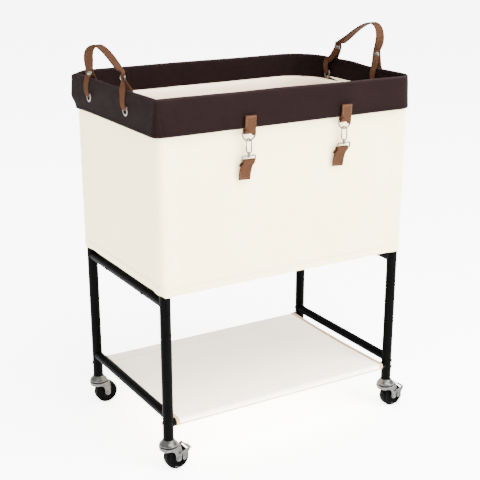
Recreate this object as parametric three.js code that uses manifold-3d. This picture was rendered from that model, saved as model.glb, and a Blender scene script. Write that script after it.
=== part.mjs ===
// Laundry sorter on wheels: a black tube frame on four swivel casters, with a canvas-covered bag
// that has a folded leather collar, two strap handles and two snap hooks, and a fabric shelf below.
// Units are millimetres. +Z is up, +X runs along the long side and -Y is the front.
// The origin lies on the floor, under the middle of the whole outline.
import * as THREE from 'three';
import * as BufferGeometryUtils from 'three/addons/utils/BufferGeometryUtils.js';
import Module from 'manifold-3d';

const wasm = await Module();
wasm.setup();

// ---- Driving dimensions ------------------------------------------------------------------

// Frame: four posts on a rectangle, joined by round rails.
const POST_SPAN_X = 547; // between post centres along the long side
const POST_SPAN_Y = 347; // between post centres along the short side
const TUBE_R = 11;
const TUBE_WALL = 1.2;
const SIDE_RAIL_R = 9.5; // rails along the short sides
const LONG_RAIL_R = 5.5; // rails along the long sides
const RAIL_BOSS_R = 8.5; // collar at each end of a long rail
const RAIL_BOSS_W = 4.5; // how far it stands out of the post
const POST_FOOT_Z = 68; // the open foot of a post, and so the height of a caster
const POST_TOP_Z = 694;
const SHELF_SIDE_RAIL_Z = 119;
const SHELF_LONG_RAIL_Z = 102;
const BASE_SIDE_RAIL_Z = 355;
const BASE_LONG_RAIL_Z = 385;

// Clearances.
const GAP = 0.3; // between pieces that touch
const RUN_GAP = 0.4; // between a pin and what turns on it

// Bag.
const COVER_WALL = 1.6;
const COVER_SLACK = 0.7; // between the posts and the canvas
const COVER_HEM_Z = 373;
const BOARD_T = 4;
const BOARD_LAP = 7; // how far the board reaches past the rail centres
const BOARD_NOTCH_CLEAR = 2; // between a corner notch and the ends of the bosses in it
const LINER_WALL = 1.2;
const LINER_OFFSET = 9; // liner's outer face, outward from the post centres
const LINER_POST_CLEAR = 1.95; // least distance between the liner's corners and the posts
const COLLAR_TOP_Z = 746;
const COLLAR_H = 66;
const COLLAR_BAND_H = 47; // inside band
const COLLAR_STAND = 8.2; // outer face, outward from the canvas
const COLLAR_T = 10; // outer face to inner face
const COLLAR_WALL = 2.5;
const COLLAR_CORNER_R = 31;
const SLING_T = 1.2;
const SLING_END_GAP = 5; // between the sling and each post

// Casters.
const WHEEL_R = 25;
const WHEEL_W = 21;
const CASTER_TRAIL = 16;
const AXLE_R = 3;
const AXLE_HEAD_R = 4.6;
const AXLE_HEAD_T = 1.4;
const CROWN_R = 19;
const CROWN_T = 2.5;
const CROWN_CLEAR = 1.6; // between the tyre and the crown
const FORK_PLATE_T = 2;
const FORK_SIDE_CLEAR = 1.7; // between the tyre and a side plate
const FORK_REAR_X = 21; // rear edge of the side plates, from the swivel axis
const SKIRT_H = 8.5;
const PLATE_RIM = 1.6; // side plate round the axle's head
const PLATE_INSET = 4; // side plates' front edge, behind the crown's
const PLATE_BELLY = 2; // swell of their rear edge
const PLATE_SHOULDER = 5; // upright stretch at their top
const STEM_LENGTH = 30;
const BRAKE_PIN_R = 1.5;
const BRAKE_PIN_X = 19.5; // the pedal's pivot, from the swivel axis
const BRAKE_PIN_Z = 37;
const BRAKE_BAR_CLEAR = 2.4; // between the tyre and the pedal
const BRAKE_BAR_RISE = THREE.MathUtils.degToRad(44); // the bar's place round the tyre
const BRAKE_REACH = 48; // pedal tip, from the swivel axis
const BRAKE_SLOPE = 0.52; // fall of the tongue
const BRAKE_TONGUE_W = 19;
const BRAKE_T = 1.6;
const BRAKE_EAR_RIM = 1.9; // ear round its pin
const BRAKE_WING_NEAR = 5; // the wing's low corners, behind the pin
const BRAKE_WING_FAR = 10;
const BRAKE_WING_DROP = 5; // and below the axle
const BRAKE_BAR_HALF = 2;
const BRAKE_BAR_TOE = 3.5;
const BRAKE_BAR_LIFT = 1.8;

// Handles: a loop round the collar's wall at each end, and an arch above.
const HANDLE_MID_Y = 13;
const HANDLE_SPAN = 170; // between eyelet centres
const LEFT_RISE = 50; // arch above its hinge line
const RIGHT_RISE = 72;
const LEFT_LEAN = 38; // how far the arch's top lies behind its middle
const RIGHT_LEAN = -54;
const LEFT_FALL = [0.92, 0.6]; // heights down the long slope, as shares of the rise
const RIGHT_FALL = [0.77, 0.33];
const STRAP_W = 18.5;
const STRAP_T = 3;
const STRAP_FOOT_W = 3.2; // the strap stands on edge at its feet
const STRAP_TWIST_H = 18; // height over which it widens
const LOOP_W = 11;
const LOOP_T = 2.4;
const LOOP_TOP_ABOVE_RIM = 10.5;
const HANDLE_HINGE_ABOVE_LOOP = 1.5;
const EYELET_DROP = 35; // eyelet centre below the rim
const EYELET_BORE_R = 6.2;
const EYELET_WALL = 1;
const EYELET_FLANGE_R = 11;
const EYELET_FLANGE_T = 1;

// Clips: leather tab, D-ring, snap hook, webbing loop, leather tab.
const CLIP_X = [-102, 118];
const TAB_W = 25;
const TAB_T = 2.4;
const TAB_KNUCKLE_R = 3.7;
const UPPER_TAB_TOP_BELOW_RIM = 42;
const RING_BAR_BELOW_COLLAR = 7;
const RING_WIRE = 3;
const RING_SPAN = 28.5; // between the wire's centres, across
const RING_DROP = 17; // between the wire's centres, down
const RING_STRAIGHT = 3;
const HOOK_WIRE = 2.7;
const HOOK_SPAN = 10.5; // between the wire's centres, across
const HOOK_ARCH_CLEAR = 0.8; // over the ring's wire
const HOOK_EYE_H = 22.5; // inside height of the eye
const HOOK_TURN = THREE.MathUtils.degToRad(-55); // the hook's plane, turned from the wall's
const GATE_LENGTH = 14;
const GATE_T = 2;
const BARREL_R = 3.2;
const BARREL_H = 4;
const SWIVEL_PIN_R = 1.3;
const SWIVEL_HEAD_R = 2.3;
const LOOP_FRAME_W = 28.5; // webbing loop, between the wire's centres, across
const LOOP_FRAME_H = 9.5; // and down
const LOOP_FRAME_WIRE = 3;
const LOWER_TAB_LENGTH = 37;
const LOWER_TAB_LIFT = 12; // length of the slanting stretch next to the loop

// ---- Derived places ----------------------------------------------------------------------

const HALF_X = POST_SPAN_X / 2;
const HALF_Y = POST_SPAN_Y / 2;
const COVER_IN = TUBE_R + COVER_SLACK;
const COVER_OUT = COVER_IN + COVER_WALL;
const BOARD_Z = BASE_LONG_RAIL_Z + LONG_RAIL_R + GAP;
const BOARD_NOTCH_R = TUBE_R + RAIL_BOSS_W + BOARD_NOTCH_CLEAR;
// A rounded corner passes inside the post when its radius times (sqrt 2 - 1) spans the post.
const LINER_CORNER_R = Math.ceil(
  (TUBE_R + LINER_POST_CLEAR + LINER_OFFSET * Math.SQRT2) / (Math.SQRT2 - 1),
);
const LINER_Z = BOARD_Z + BOARD_T + GAP;
const COLLAR_BOTTOM_Z = COLLAR_TOP_Z - COLLAR_H;
const BAND_BOTTOM_Z = COLLAR_TOP_Z - COLLAR_BAND_H;
const BAG_SEAM_Z = BAND_BOTTOM_Z - GAP; // top of the liner
const COVER_TOP_Z = BAND_BOTTOM_Z - 2;
const COLLAR_OUT = COVER_OUT + COLLAR_STAND; // outer face, outward from the post centres
const COLLAR_IN = COLLAR_OUT - COLLAR_T;
const WALL_MID = (COLLAR_OUT + COLLAR_IN) / 2;
const EYELET_Z = COLLAR_TOP_Z - EYELET_DROP;
const EYELET_OUT_R = EYELET_BORE_R + EYELET_WALL;
const EYELET_HALF_T = COLLAR_T / 2 + GAP + EYELET_FLANGE_T;
const LOOP_IN = EYELET_HALF_T + RUN_GAP; // inside half width of a handle loop
const LOOP_OUT = LOOP_IN + LOOP_T;
const LOOP_TOP_Z = COLLAR_TOP_Z + LOOP_TOP_ABOVE_RIM;
const HANDLE_HINGE_Z = LOOP_TOP_Z + HANDLE_HINGE_ABOVE_LOOP;
const CROWN_Z = 2 * WHEEL_R + CROWN_CLEAR;
const FORK_IN = WHEEL_W / 2 + FORK_SIDE_CLEAR;
const FORK_OUT = FORK_IN + FORK_PLATE_T;
const BRAKE_IN = FORK_OUT + RUN_GAP;
const BRAKE_OUT = BRAKE_IN + BRAKE_T;
const RING_BAR_Z = COLLAR_BOTTOM_Z - RING_BAR_BELOW_COLLAR;
const RING_LOW_Z = RING_BAR_Z - RING_DROP;
const CLIP_Y = -(HALF_Y + COLLAR_OUT + GAP + TAB_T / 2);
const HOOK_TOP_IN_Z = RING_LOW_Z + RING_WIRE / 2 + HOOK_ARCH_CLEAR;
const HOOK_ARCH_R = HOOK_SPAN / 2;
const HOOK_ARCH_Z = HOOK_TOP_IN_Z - (HOOK_ARCH_R - HOOK_WIRE / 2);
const HOOK_EYE_LOW_Z = HOOK_TOP_IN_Z - HOOK_EYE_H;
const HOOK_LOW_Z = HOOK_EYE_LOW_Z - HOOK_WIRE;
const GATE_PIVOT_Z = HOOK_EYE_LOW_Z + HOOK_ARCH_R - HOOK_WIRE / 2;
const LOOP_FRAME_TOP_Z = HOOK_LOW_Z - BARREL_H - GAP - LOOP_FRAME_WIRE / 2;
const LOOP_FRAME_LOW_Z = LOOP_FRAME_TOP_Z - LOOP_FRAME_H;

// The pedals reach furthest to +X, the handle loops to -X, the hooks to -Y and the collar to +Y.
const hookDepth = (HOOK_SPAN / 2) * Math.abs(Math.sin(HOOK_TURN)) + HOOK_WIRE / 2;
const REACH_RIGHT = HALF_X + BRAKE_REACH;
const REACH_LEFT = HALF_X + WALL_MID + LOOP_OUT;
const REACH_FRONT = -CLIP_Y + hookDepth;
const REACH_REAR = HALF_Y + COLLAR_OUT;

// ---- Materials ---------------------------------------------------------------------------

const finish = (color, roughness, metalness = 0) => ({ color, roughness, metalness });
const BLACK_COAT = finish(0x17171a, 0.45, 0.2);
const ZINC = finish(0x9a9b9c, 0.35, 0.9);
const BLACK_RUBBER = finish(0x121214, 0.6);
const CREAM_CANVAS = finish(0xf0ebe0, 0.9);
const LINING = finish(0xe6e0d6, 0.9);
const DARK_LEATHER = finish(0x3e3334, 0.45);
const TAN_LEATHER = finish(0x9c7255, 0.55);
const NICKEL = finish(0xcfcac0, 0.25, 0.95);
const GREY_BOARD = finish(0x8d8a86, 0.85);

// ---- Helpers -----------------------------------------------------------------------------

const ROUND = 14; // sides of a tube
const AXIS_TO_Y = new THREE.Matrix4().makeRotationX(Math.PI / 2);
const AXIS_TO_X = new THREE.Matrix4().makeRotationY(Math.PI / 2);

function mesh(name, geometry, look, place = [0, 0, 0]) {
  const piece = new THREE.Mesh(geometry, new THREE.MeshStandardMaterial(look));
  piece.name = name;
  piece.position.set(...place);
  return piece;
}

function solid(geometry) {
  const bare = geometry.clone();
  bare.deleteAttribute('normal');
  bare.deleteAttribute('uv');
  const merged = BufferGeometryUtils.mergeVertices(bare, 1e-4);
  const vertProperties = new Float32Array(merged.attributes.position.array);
  const triVerts = new Uint32Array(merged.index.array);
  return new wasm.Manifold(new wasm.Mesh({ numProp: 3, vertProperties, triVerts }));
}

function geometryOf(manifold) {
  const got = manifold.getMesh();
  const geometry = new THREE.BufferGeometry();
  geometry.setAttribute('position', new THREE.BufferAttribute(got.vertProperties, 3));
  geometry.setIndex(new THREE.BufferAttribute(got.triVerts, 1));
  geometry.computeVertexNormals();
  return geometry;
}

const join = (first, ...rest) => rest.reduce((sum, other) => sum.add(solid(other)), solid(first));
const cut = (body, ...tools) => tools.reduce((left, tool) => left.subtract(solid(tool)), body);

function rod(radius, length, middle, axis, sides = ROUND) {
  const geometry = new THREE.CylinderGeometry(radius, radius, length, sides);
  if (axis === 'x') geometry.rotateZ(Math.PI / 2);
  if (axis === 'z') geometry.rotateX(Math.PI / 2);
  return geometry.translate(...middle);
}

function block(sizeX, sizeY, sizeZ, middle) {
  return new THREE.BoxGeometry(sizeX, sizeY, sizeZ).translate(...middle);
}

// A profile of [radius, height] points turned about Z.
function turned(profile, sides = ROUND) {
  const points = profile.map(([radius, height]) => new THREE.Vector2(radius, height));
  return new THREE.LatheGeometry(points, sides).rotateX(Math.PI / 2);
}

function roundedRect(halfX, halfY, radius, TargetClass = THREE.Shape) {
  const outline = new TargetClass();
  outline.moveTo(halfX - radius, -halfY);
  outline.absarc(halfX - radius, -halfY + radius, radius, -Math.PI / 2, 0);
  outline.absarc(halfX - radius, halfY - radius, radius, 0, Math.PI / 2);
  outline.absarc(-halfX + radius, halfY - radius, radius, Math.PI / 2, Math.PI);
  outline.absarc(-halfX + radius, -halfY + radius, radius, Math.PI, 1.5 * Math.PI);
  outline.closePath();
  return outline;
}

// A plate drawn in XY and raised from z0 to z1.
function raised(shape, z0, z1, curveSegments = 5) {
  const settings = { depth: z1 - z0, bevelEnabled: false, curveSegments };
  return new THREE.ExtrudeGeometry(shape, settings).translate(0, 0, z0);
}

// A rounded rectangle that keeps a distance from the post centres.
function around(offset, radius, z0, z1) {
  return raised(roundedRect(HALF_X + offset, HALF_Y + offset, radius), z0, z1);
}

// A plate drawn as (x, z) and centred on y = 0.
function upright(shape, thickness, curveSegments = 8) {
  const settings = { depth: thickness, bevelEnabled: false, curveSegments };
  const geometry = new THREE.ExtrudeGeometry(shape, settings).translate(0, 0, -thickness / 2);
  return geometry.rotateX(Math.PI / 2);
}

// A flat ring with softened edges, drawn as (x, z), that stands for bent wire.
function wireRing(shape, wire, curveSegments) {
  const bevel = wire * 0.3;
  const settings = {
    depth: wire - 2 * bevel,
    bevelThickness: bevel,
    bevelSize: bevel,
    bevelOffset: -bevel,
    bevelSegments: 1,
    curveSegments,
  };
  const geometry = new THREE.ExtrudeGeometry(shape, settings).translate(0, 0, bevel - wire / 2);
  return geometry.rotateX(Math.PI / 2);
}

// ---- Frame -------------------------------------------------------------------------------

const POSTS = [
  { tag: 'front_left', x: -HALF_X, y: -HALF_Y, brake: true },
  { tag: 'front_right', x: HALF_X, y: -HALF_Y, brake: true },
  { tag: 'rear_left', x: -HALF_X, y: HALF_Y, brake: false },
  { tag: 'rear_right', x: HALF_X, y: HALF_Y, brake: false },
];

function post({ tag, x, y }) {
  const bore = TUBE_R - TUBE_WALL;
  const profile = [
    [bore, POST_FOOT_Z],
    [TUBE_R, POST_FOOT_Z],
    [TUBE_R, POST_TOP_Z - TUBE_WALL],
    [bore, POST_TOP_Z],
    [0, POST_TOP_Z],
    [0, POST_TOP_Z - TUBE_WALL],
    [bore, POST_TOP_Z - TUBE_WALL],
    [bore, POST_FOOT_Z],
  ];
  return mesh(`post_${tag}`, turned(profile), BLACK_COAT, [x, y, 0]);
}

// A rail between two posts, its ends cut to sit round them. Long rails end in a thicker boss.
function rail(name, axis, x, y, z) {
  const along = axis === 'x';
  const half = (along ? POST_SPAN_X : POST_SPAN_Y) / 2;
  const radius = along ? LONG_RAIL_R : SIDE_RAIL_R;
  const at = (reach) => (along ? [x + reach, y, z] : [x, y + reach, z]);
  const bossLength = TUBE_R + RAIL_BOSS_W;
  const bossMiddle = half - bossLength / 2;
  const bosses = [-bossMiddle, bossMiddle].map((reach) => rod(RAIL_BOSS_R, bossLength, at(reach), axis));
  const tube = cut(
    join(rod(radius, 2 * half, at(0), axis), ...(along ? bosses : [])),
    rod(radius - TUBE_WALL, 2 * half + 1, at(0), axis),
    ...[-half, half].map((reach) => rod(TUBE_R + GAP, 3 * TUBE_R, at(reach), 'z')),
  );
  return mesh(name, geometryOf(tube), BLACK_COAT);
}

function frameRails() {
  return [
    rail('base_rail_front', 'x', 0, -HALF_Y, BASE_LONG_RAIL_Z),
    rail('base_rail_rear', 'x', 0, HALF_Y, BASE_LONG_RAIL_Z),
    rail('base_rail_left', 'y', -HALF_X, 0, BASE_SIDE_RAIL_Z),
    rail('base_rail_right', 'y', HALF_X, 0, BASE_SIDE_RAIL_Z),
    rail('shelf_rail_front', 'x', 0, -HALF_Y, SHELF_LONG_RAIL_Z),
    rail('shelf_rail_rear', 'x', 0, HALF_Y, SHELF_LONG_RAIL_Z),
    rail('shelf_rail_left', 'y', -HALF_X, 0, SHELF_SIDE_RAIL_Z),
    rail('shelf_rail_right', 'y', HALF_X, 0, SHELF_SIDE_RAIL_Z),
  ];
}

function baseBoard() {
  const sizeX = POST_SPAN_X + 2 * BOARD_LAP;
  const sizeY = POST_SPAN_Y + 2 * BOARD_LAP;
  const plate = solid(block(sizeX, sizeY, BOARD_T, [0, 0, BOARD_Z + BOARD_T / 2]));
  const notches = POSTS.map(({ x, y }) => rod(BOARD_NOTCH_R, 3 * BOARD_T, [x, y, BOARD_Z], 'z'));
  return mesh('base_board', geometryOf(cut(plate, ...notches)), GREY_BOARD);
}

// ---- Bag ---------------------------------------------------------------------------------

// The canvas sleeve hugs the posts, so its inner corners follow their tubes.
function cover() {
  const shell = cut(
    solid(around(COVER_OUT, COVER_OUT, COVER_HEM_Z, COVER_TOP_Z)),
    around(COVER_IN, COVER_IN, COVER_HEM_Z - 1, COVER_TOP_Z + 1),
  );
  return mesh('canvas_cover', geometryOf(shell), CREAM_CANVAS);
}

function liner() {
  const inner = LINER_OFFSET - LINER_WALL;
  const bag = cut(
    solid(around(LINER_OFFSET, LINER_CORNER_R, LINER_Z, BAG_SEAM_Z)),
    around(inner, LINER_CORNER_R - LINER_WALL, LINER_Z + LINER_WALL, BAG_SEAM_Z + 1),
  );
  return mesh('bag_liner', geometryOf(bag), LINING);
}

const SIDES = [
  { tag: 'left', x: -(HALF_X + WALL_MID), rise: LEFT_RISE, lean: LEFT_LEAN, fall: LEFT_FALL },
  { tag: 'right', x: HALF_X + WALL_MID, rise: RIGHT_RISE, lean: RIGHT_LEAN, fall: RIGHT_FALL },
];
const EYELETS = [
  { tag: 'rear', y: HANDLE_MID_Y + HANDLE_SPAN / 2 },
  { tag: 'front', y: HANDLE_MID_Y - HANDLE_SPAN / 2 },
];

// The leather is folded over at the rim: a skirt outside, a shorter band inside, open below.
function collar() {
  const groove = cut(
    solid(around(COLLAR_OUT - COLLAR_WALL, COLLAR_CORNER_R - COLLAR_WALL,
      COLLAR_BOTTOM_Z - 1, COLLAR_TOP_Z - COLLAR_WALL)),
    around(COLLAR_IN + COLLAR_WALL, COLLAR_CORNER_R - COLLAR_T + COLLAR_WALL,
      BAND_BOTTOM_Z, COLLAR_TOP_Z),
  );
  const folded = cut(
    solid(around(COLLAR_OUT, COLLAR_CORNER_R, COLLAR_BOTTOM_Z, COLLAR_TOP_Z)),
    around(COLLAR_IN, COLLAR_CORNER_R - COLLAR_T, BAND_BOTTOM_Z - 1, COLLAR_TOP_Z + 1),
  ).subtract(groove);
  const holes = SIDES.flatMap(({ x }) => EYELETS.map(({ y }) =>
    rod(EYELET_OUT_R + 2 * GAP, 2 * COLLAR_T, [x, y, EYELET_Z], 'x', 10)));
  return mesh('leather_collar', geometryOf(cut(folded, ...holes)), DARK_LEATHER);
}

// ---- Shelf sling -------------------------------------------------------------------------

function shelfSling() {
  const bore = LONG_RAIL_R + 2 * GAP;
  const sleeve = bore + SLING_T;
  const length = POST_SPAN_X - 2 * (TUBE_R + SLING_END_GAP);
  const top = SHELF_LONG_RAIL_Z + sleeve;
  const sheet = block(length, POST_SPAN_Y, SLING_T, [0, 0, top - SLING_T / 2]);
  const sleeves = [-HALF_Y, HALF_Y].map((y) => rod(sleeve, length, [0, y, SHELF_LONG_RAIL_Z], 'x'));
  const bores = [-HALF_Y, HALF_Y].map((y) => rod(bore, length + 2, [0, y, SHELF_LONG_RAIL_Z], 'x'));
  return mesh('shelf_sling', geometryOf(cut(join(sheet, ...sleeves), ...bores)), LINING);
}

// ---- Casters -----------------------------------------------------------------------------

function casterStem(tag) {
  const foot = POST_FOOT_Z - GAP;
  const bore = TUBE_R - TUBE_WALL - GAP;
  const seat = CROWN_Z + CROWN_T + RUN_GAP;
  const profile = [
    [0, seat],
    [CROWN_R - 1.5, seat],
    [CROWN_R, seat + 2],
    [CROWN_R - 0.5, seat + 4.5],
    [TUBE_R + 1.5, foot - 2],
    [TUBE_R, foot],
    [bore, foot],
    [bore, foot + STEM_LENGTH],
    [0, foot + STEM_LENGTH],
  ];
  return mesh(`caster_${tag}_stem`, turned(profile), ZINC);
}

function sidePlate() {
  const top = CROWN_Z + CROWN_T;
  const eye = AXLE_HEAD_R + PLATE_RIM;
  const front = PLATE_INSET - CROWN_R;
  const waist = (top + WHEEL_R) / 2;
  const outline = new THREE.Shape();
  outline.moveTo(front, top);
  outline.lineTo(front, top - SKIRT_H);
  outline.quadraticCurveTo(CASTER_TRAIL - eye, top - SKIRT_H, CASTER_TRAIL - eye, WHEEL_R);
  outline.absarc(CASTER_TRAIL, WHEEL_R, eye, Math.PI, 2 * Math.PI, false);
  outline.quadraticCurveTo(CASTER_TRAIL + eye + PLATE_BELLY, waist, FORK_REAR_X, top - PLATE_SHOULDER);
  outline.lineTo(FORK_REAR_X, top);
  outline.closePath();
  return upright(outline, FORK_PLATE_T, 5);
}

function fork(tag, brake) {
  const side = FORK_IN + FORK_PLATE_T / 2;
  const middle = CROWN_Z + CROWN_T / 2;
  const crownBox = block(FORK_REAR_X, 2 * FORK_OUT, CROWN_T, [FORK_REAR_X / 2, 0, middle]);
  const crown = rod(CROWN_R, CROWN_T, [0, 0, middle], 'z', 16);
  const skirtMiddle = CROWN_Z + CROWN_T - SKIRT_H / 2;
  const skirt = cut(
    solid(rod(CROWN_R, SKIRT_H, [0, 0, skirtMiddle], 'z', 16)),
    rod(CROWN_R - FORK_PLATE_T, 2 * SKIRT_H, [0, 0, skirtMiddle], 'z', 16),
    block(2 * CROWN_R, 4 * CROWN_R, 2 * SKIRT_H, [CROWN_R - 3, 0, skirtMiddle]),
  );
  const plates = [-side, side].map((y) => sidePlate().translate(0, y, 0));
  const whole = join(crown, crownBox, ...plates);
  const holes = [rod(AXLE_R + GAP, 4 * FORK_OUT, [CASTER_TRAIL, 0, WHEEL_R], 'y', 12)];
  if (brake) holes.push(rod(BRAKE_PIN_R + GAP, 4 * FORK_OUT, [BRAKE_PIN_X, 0, BRAKE_PIN_Z], 'y', 10));
  return mesh(`caster_${tag}_fork`, geometryOf(cut(whole.add(skirt), ...holes)), ZINC);
}

function axle(tag) {
  const inner = FORK_OUT + GAP;
  const outer = inner + AXLE_HEAD_T;
  const profile = [
    [0, -outer],
    [AXLE_HEAD_R - 1, -outer],
    [AXLE_HEAD_R, -inner],
    [AXLE_R, -inner],
    [AXLE_R, inner],
    [AXLE_HEAD_R, inner],
    [AXLE_HEAD_R - 1, outer],
    [0, outer],
  ];
  const geometry = turned(profile, 12).applyMatrix4(AXIS_TO_Y);
  return mesh(`caster_${tag}_axle`, geometry, ZINC, [CASTER_TRAIL, 0, WHEEL_R]);
}

// The tyre's shoulders are round, and the hub stands a little proud inside a shallow dish.
function wheel(tag) {
  const half = WHEEL_W / 2;
  const shoulder = 5;
  const bore = AXLE_R + GAP;
  const rim = WHEEL_R - 6.5;
  const arc = (sign) => [0, 1, 2].map((step) => {
    const angle = (sign > 0 ? step : 2 - step) * (Math.PI / 4);
    const radius = WHEEL_R - shoulder + shoulder * Math.cos(angle);
    return [radius, sign * (half - shoulder + shoulder * Math.sin(angle))];
  });
  const profile = [
    [bore, -half + 0.6],
    [8, -half + 3],
    [rim - 1, -half + 3],
    [rim, -half],
    ...arc(-1),
    ...arc(1),
    [rim, half],
    [rim - 1, half - 3],
    [8, half - 3],
    [bore, half - 0.6],
    [bore, -half + 0.6],
  ];
  const geometry = turned(profile, 18).applyMatrix4(AXIS_TO_Y);
  return mesh(`caster_${tag}_wheel`, geometry, BLACK_RUBBER, [CASTER_TRAIL, 0, WHEEL_R]);
}

// A stamped pedal: two ears outside the side plates, each with its own short pin and a wing
// beside the wheel, a bar behind the tyre, and a sloping tongue.
function brakePedal(tag) {
  const barRadius = WHEEL_R + BRAKE_BAR_CLEAR;
  const barX = CASTER_TRAIL + barRadius * Math.cos(BRAKE_BAR_RISE);
  const barZ = WHEEL_R + barRadius * Math.sin(BRAKE_BAR_RISE);
  const earR = BRAKE_PIN_R + BRAKE_EAR_RIM;
  const ear = new THREE.Shape();
  ear.moveTo(BRAKE_PIN_X + earR, BRAKE_PIN_Z);
  ear.lineTo(BRAKE_PIN_X + BRAKE_WING_NEAR, WHEEL_R - BRAKE_WING_DROP);
  ear.lineTo(BRAKE_PIN_X + BRAKE_WING_FAR, WHEEL_R - BRAKE_WING_DROP);
  ear.lineTo(barX + BRAKE_BAR_TOE, barZ - BRAKE_BAR_HALF);
  ear.lineTo(barX + BRAKE_BAR_HALF, barZ + BRAKE_BAR_LIFT);
  ear.lineTo(barX - BRAKE_BAR_HALF, barZ + BRAKE_BAR_LIFT);
  ear.lineTo(BRAKE_PIN_X - earR, BRAKE_PIN_Z);
  ear.absarc(BRAKE_PIN_X, BRAKE_PIN_Z, earR, Math.PI, 2 * Math.PI, false);
  const slope = (x) => barZ - (x - barX) * BRAKE_SLOPE;
  const strip = (from, to) => {
    const shape = new THREE.Shape();
    shape.moveTo(from, slope(from) + BRAKE_T);
    shape.lineTo(to, slope(to) + BRAKE_T);
    shape.lineTo(to, slope(to));
    shape.lineTo(from, slope(from));
    shape.closePath();
    return shape;
  };
  const earY = BRAKE_IN + BRAKE_T / 2;
  const pinIn = FORK_IN - 0.8;
  const pinLength = BRAKE_OUT + 0.6 - pinIn;
  const pinY = pinIn + pinLength / 2;
  const whole = join(
    upright(strip(barX - 0.5, barX + 4), 2 * BRAKE_OUT),
    upright(strip(barX, BRAKE_REACH), BRAKE_TONGUE_W),
    ...[-earY, earY].map((y) => upright(ear, BRAKE_T, 4).translate(0, y, 0)),
    ...[-pinY, pinY].map((y) => rod(BRAKE_PIN_R, pinLength, [BRAKE_PIN_X, y, BRAKE_PIN_Z], 'y', 10)),
  );
  return mesh(`caster_${tag}_brake`, geometryOf(whole), ZINC);
}

function caster({ tag, x, y, brake }) {
  const group = new THREE.Group();
  group.position.set(x, y, 0);
  group.add(casterStem(tag), fork(tag, brake), axle(tag), wheel(tag));
  if (brake) group.add(brakePedal(tag));
  return group;
}

// ---- Handles -----------------------------------------------------------------------------

// A strap of even thickness along a curve in the YZ plane, drawn as (y, z).
function bandShape(points, thickness, samples) {
  const curve = new THREE.CatmullRomCurve3(points.map(([y, z]) => new THREE.Vector3(y, z, 0)));
  const side = (sign) => Array.from({ length: samples + 1 }, (_, step) => {
    const at = curve.getPoint(step / samples);
    const along = curve.getTangent(step / samples);
    return new THREE.Vector2(
      at.x - sign * along.y * (thickness / 2),
      at.y + sign * along.x * (thickness / 2),
    );
  });
  return new THREE.Shape([...side(1), ...side(-1).reverse()]);
}

// The arch leans to one end: it climbs steeply there and comes down in a long slope.
function handleArch({ tag, x, rise, lean, fall }) {
  const half = HANDLE_SPAN / 2 - 2;
  const top = HANDLE_HINGE_Z + rise - STRAP_T / 2;
  const foot = HANDLE_HINGE_Z + 0.8;
  const steep = Math.sign(lean) * half;
  const line = [
    [steep, foot],
    [steep * 1.02, foot + 0.55 * rise],
    [(steep + lean) / 2, foot + 0.88 * rise],
    [lean, top],
    [lean * 0.35, foot + fall[0] * rise],
    [-steep * 0.4, foot + fall[1] * rise],
    [-steep, foot],
  ].map(([y, z]) => [HANDLE_MID_Y + y, z]);
  const settings = { depth: STRAP_W, bevelEnabled: false, curveSegments: 1 };
  const band = new THREE.ExtrudeGeometry(bandShape(line, STRAP_T, 26), settings);
  band.translate(0, 0, -STRAP_W / 2);
  // (y, z, x) order of the drawing becomes (x, y, z).
  band.applyMatrix4(new THREE.Matrix4().set(0, 0, 1, x, 1, 0, 0, 0, 0, 1, 0, 0, 0, 0, 0, 1));
  const taper = new THREE.Shape();
  taper.moveTo(-STRAP_FOOT_W / 2, foot);
  taper.lineTo(STRAP_FOOT_W / 2, foot);
  taper.lineTo(STRAP_W / 2, foot + STRAP_TWIST_H);
  taper.lineTo(STRAP_W / 2, top + STRAP_T);
  taper.lineTo(-STRAP_W / 2, top + STRAP_T);
  taper.lineTo(-STRAP_W / 2, foot + STRAP_TWIST_H);
  taper.closePath();
  const limit = upright(taper, 2 * HANDLE_SPAN).translate(x, HANDLE_MID_Y, 0);
  const arch = solid(band).intersect(solid(limit));
  return mesh(`handle_${tag}_arch`, geometryOf(arch), TAN_LEATHER);
}

// The strap passes through the eyelet and closes on itself over the rim.
function handleLoop(sideTag, endTag, x, y) {
  const low = EYELET_Z - LOOP_T / 2;
  const rim = COLLAR_TOP_Z + 2;
  const outline = (halfWidth, bottom, top, TargetClass) => {
    const path = new TargetClass();
    path.moveTo(-halfWidth, bottom);
    path.lineTo(halfWidth, bottom);
    path.lineTo(halfWidth, rim);
    path.lineTo(1.6, top);
    path.lineTo(-1.6, top);
    path.lineTo(-halfWidth, rim);
    path.closePath();
    return path;
  };
  const shape = outline(LOOP_OUT, low, LOOP_TOP_Z, THREE.Shape);
  shape.holes.push(outline(LOOP_IN, low + LOOP_T, LOOP_TOP_Z - 3.5, THREE.Path));
  const name = `handle_${sideTag}_loop_${endTag}`;
  return mesh(name, upright(shape, LOOP_W), TAN_LEATHER, [x, y, 0]);
}

function eyelet(sideTag, endTag, x, y) {
  const wall = EYELET_HALF_T - EYELET_FLANGE_T;
  const profile = [
    [EYELET_BORE_R, -EYELET_HALF_T],
    [EYELET_FLANGE_R - 1, -EYELET_HALF_T],
    [EYELET_FLANGE_R, -wall],
    [EYELET_OUT_R, -wall],
    [EYELET_OUT_R, wall],
    [EYELET_FLANGE_R, wall],
    [EYELET_FLANGE_R - 1, EYELET_HALF_T],
    [EYELET_BORE_R, EYELET_HALF_T],
    [EYELET_BORE_R, -EYELET_HALF_T],
  ];
  const geometry = turned(profile, 12).applyMatrix4(AXIS_TO_X);
  return mesh(`eyelet_${sideTag}_${endTag}`, geometry, NICKEL, [x, y, EYELET_Z]);
}

function handles() {
  return SIDES.flatMap((side) => [
    handleArch(side),
    ...EYELETS.flatMap(({ tag, y }) => [
      handleLoop(side.tag, tag, side.x, y),
      eyelet(side.tag, tag, side.x, y),
    ]),
  ]);
}

// ---- Clips -------------------------------------------------------------------------------

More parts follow.
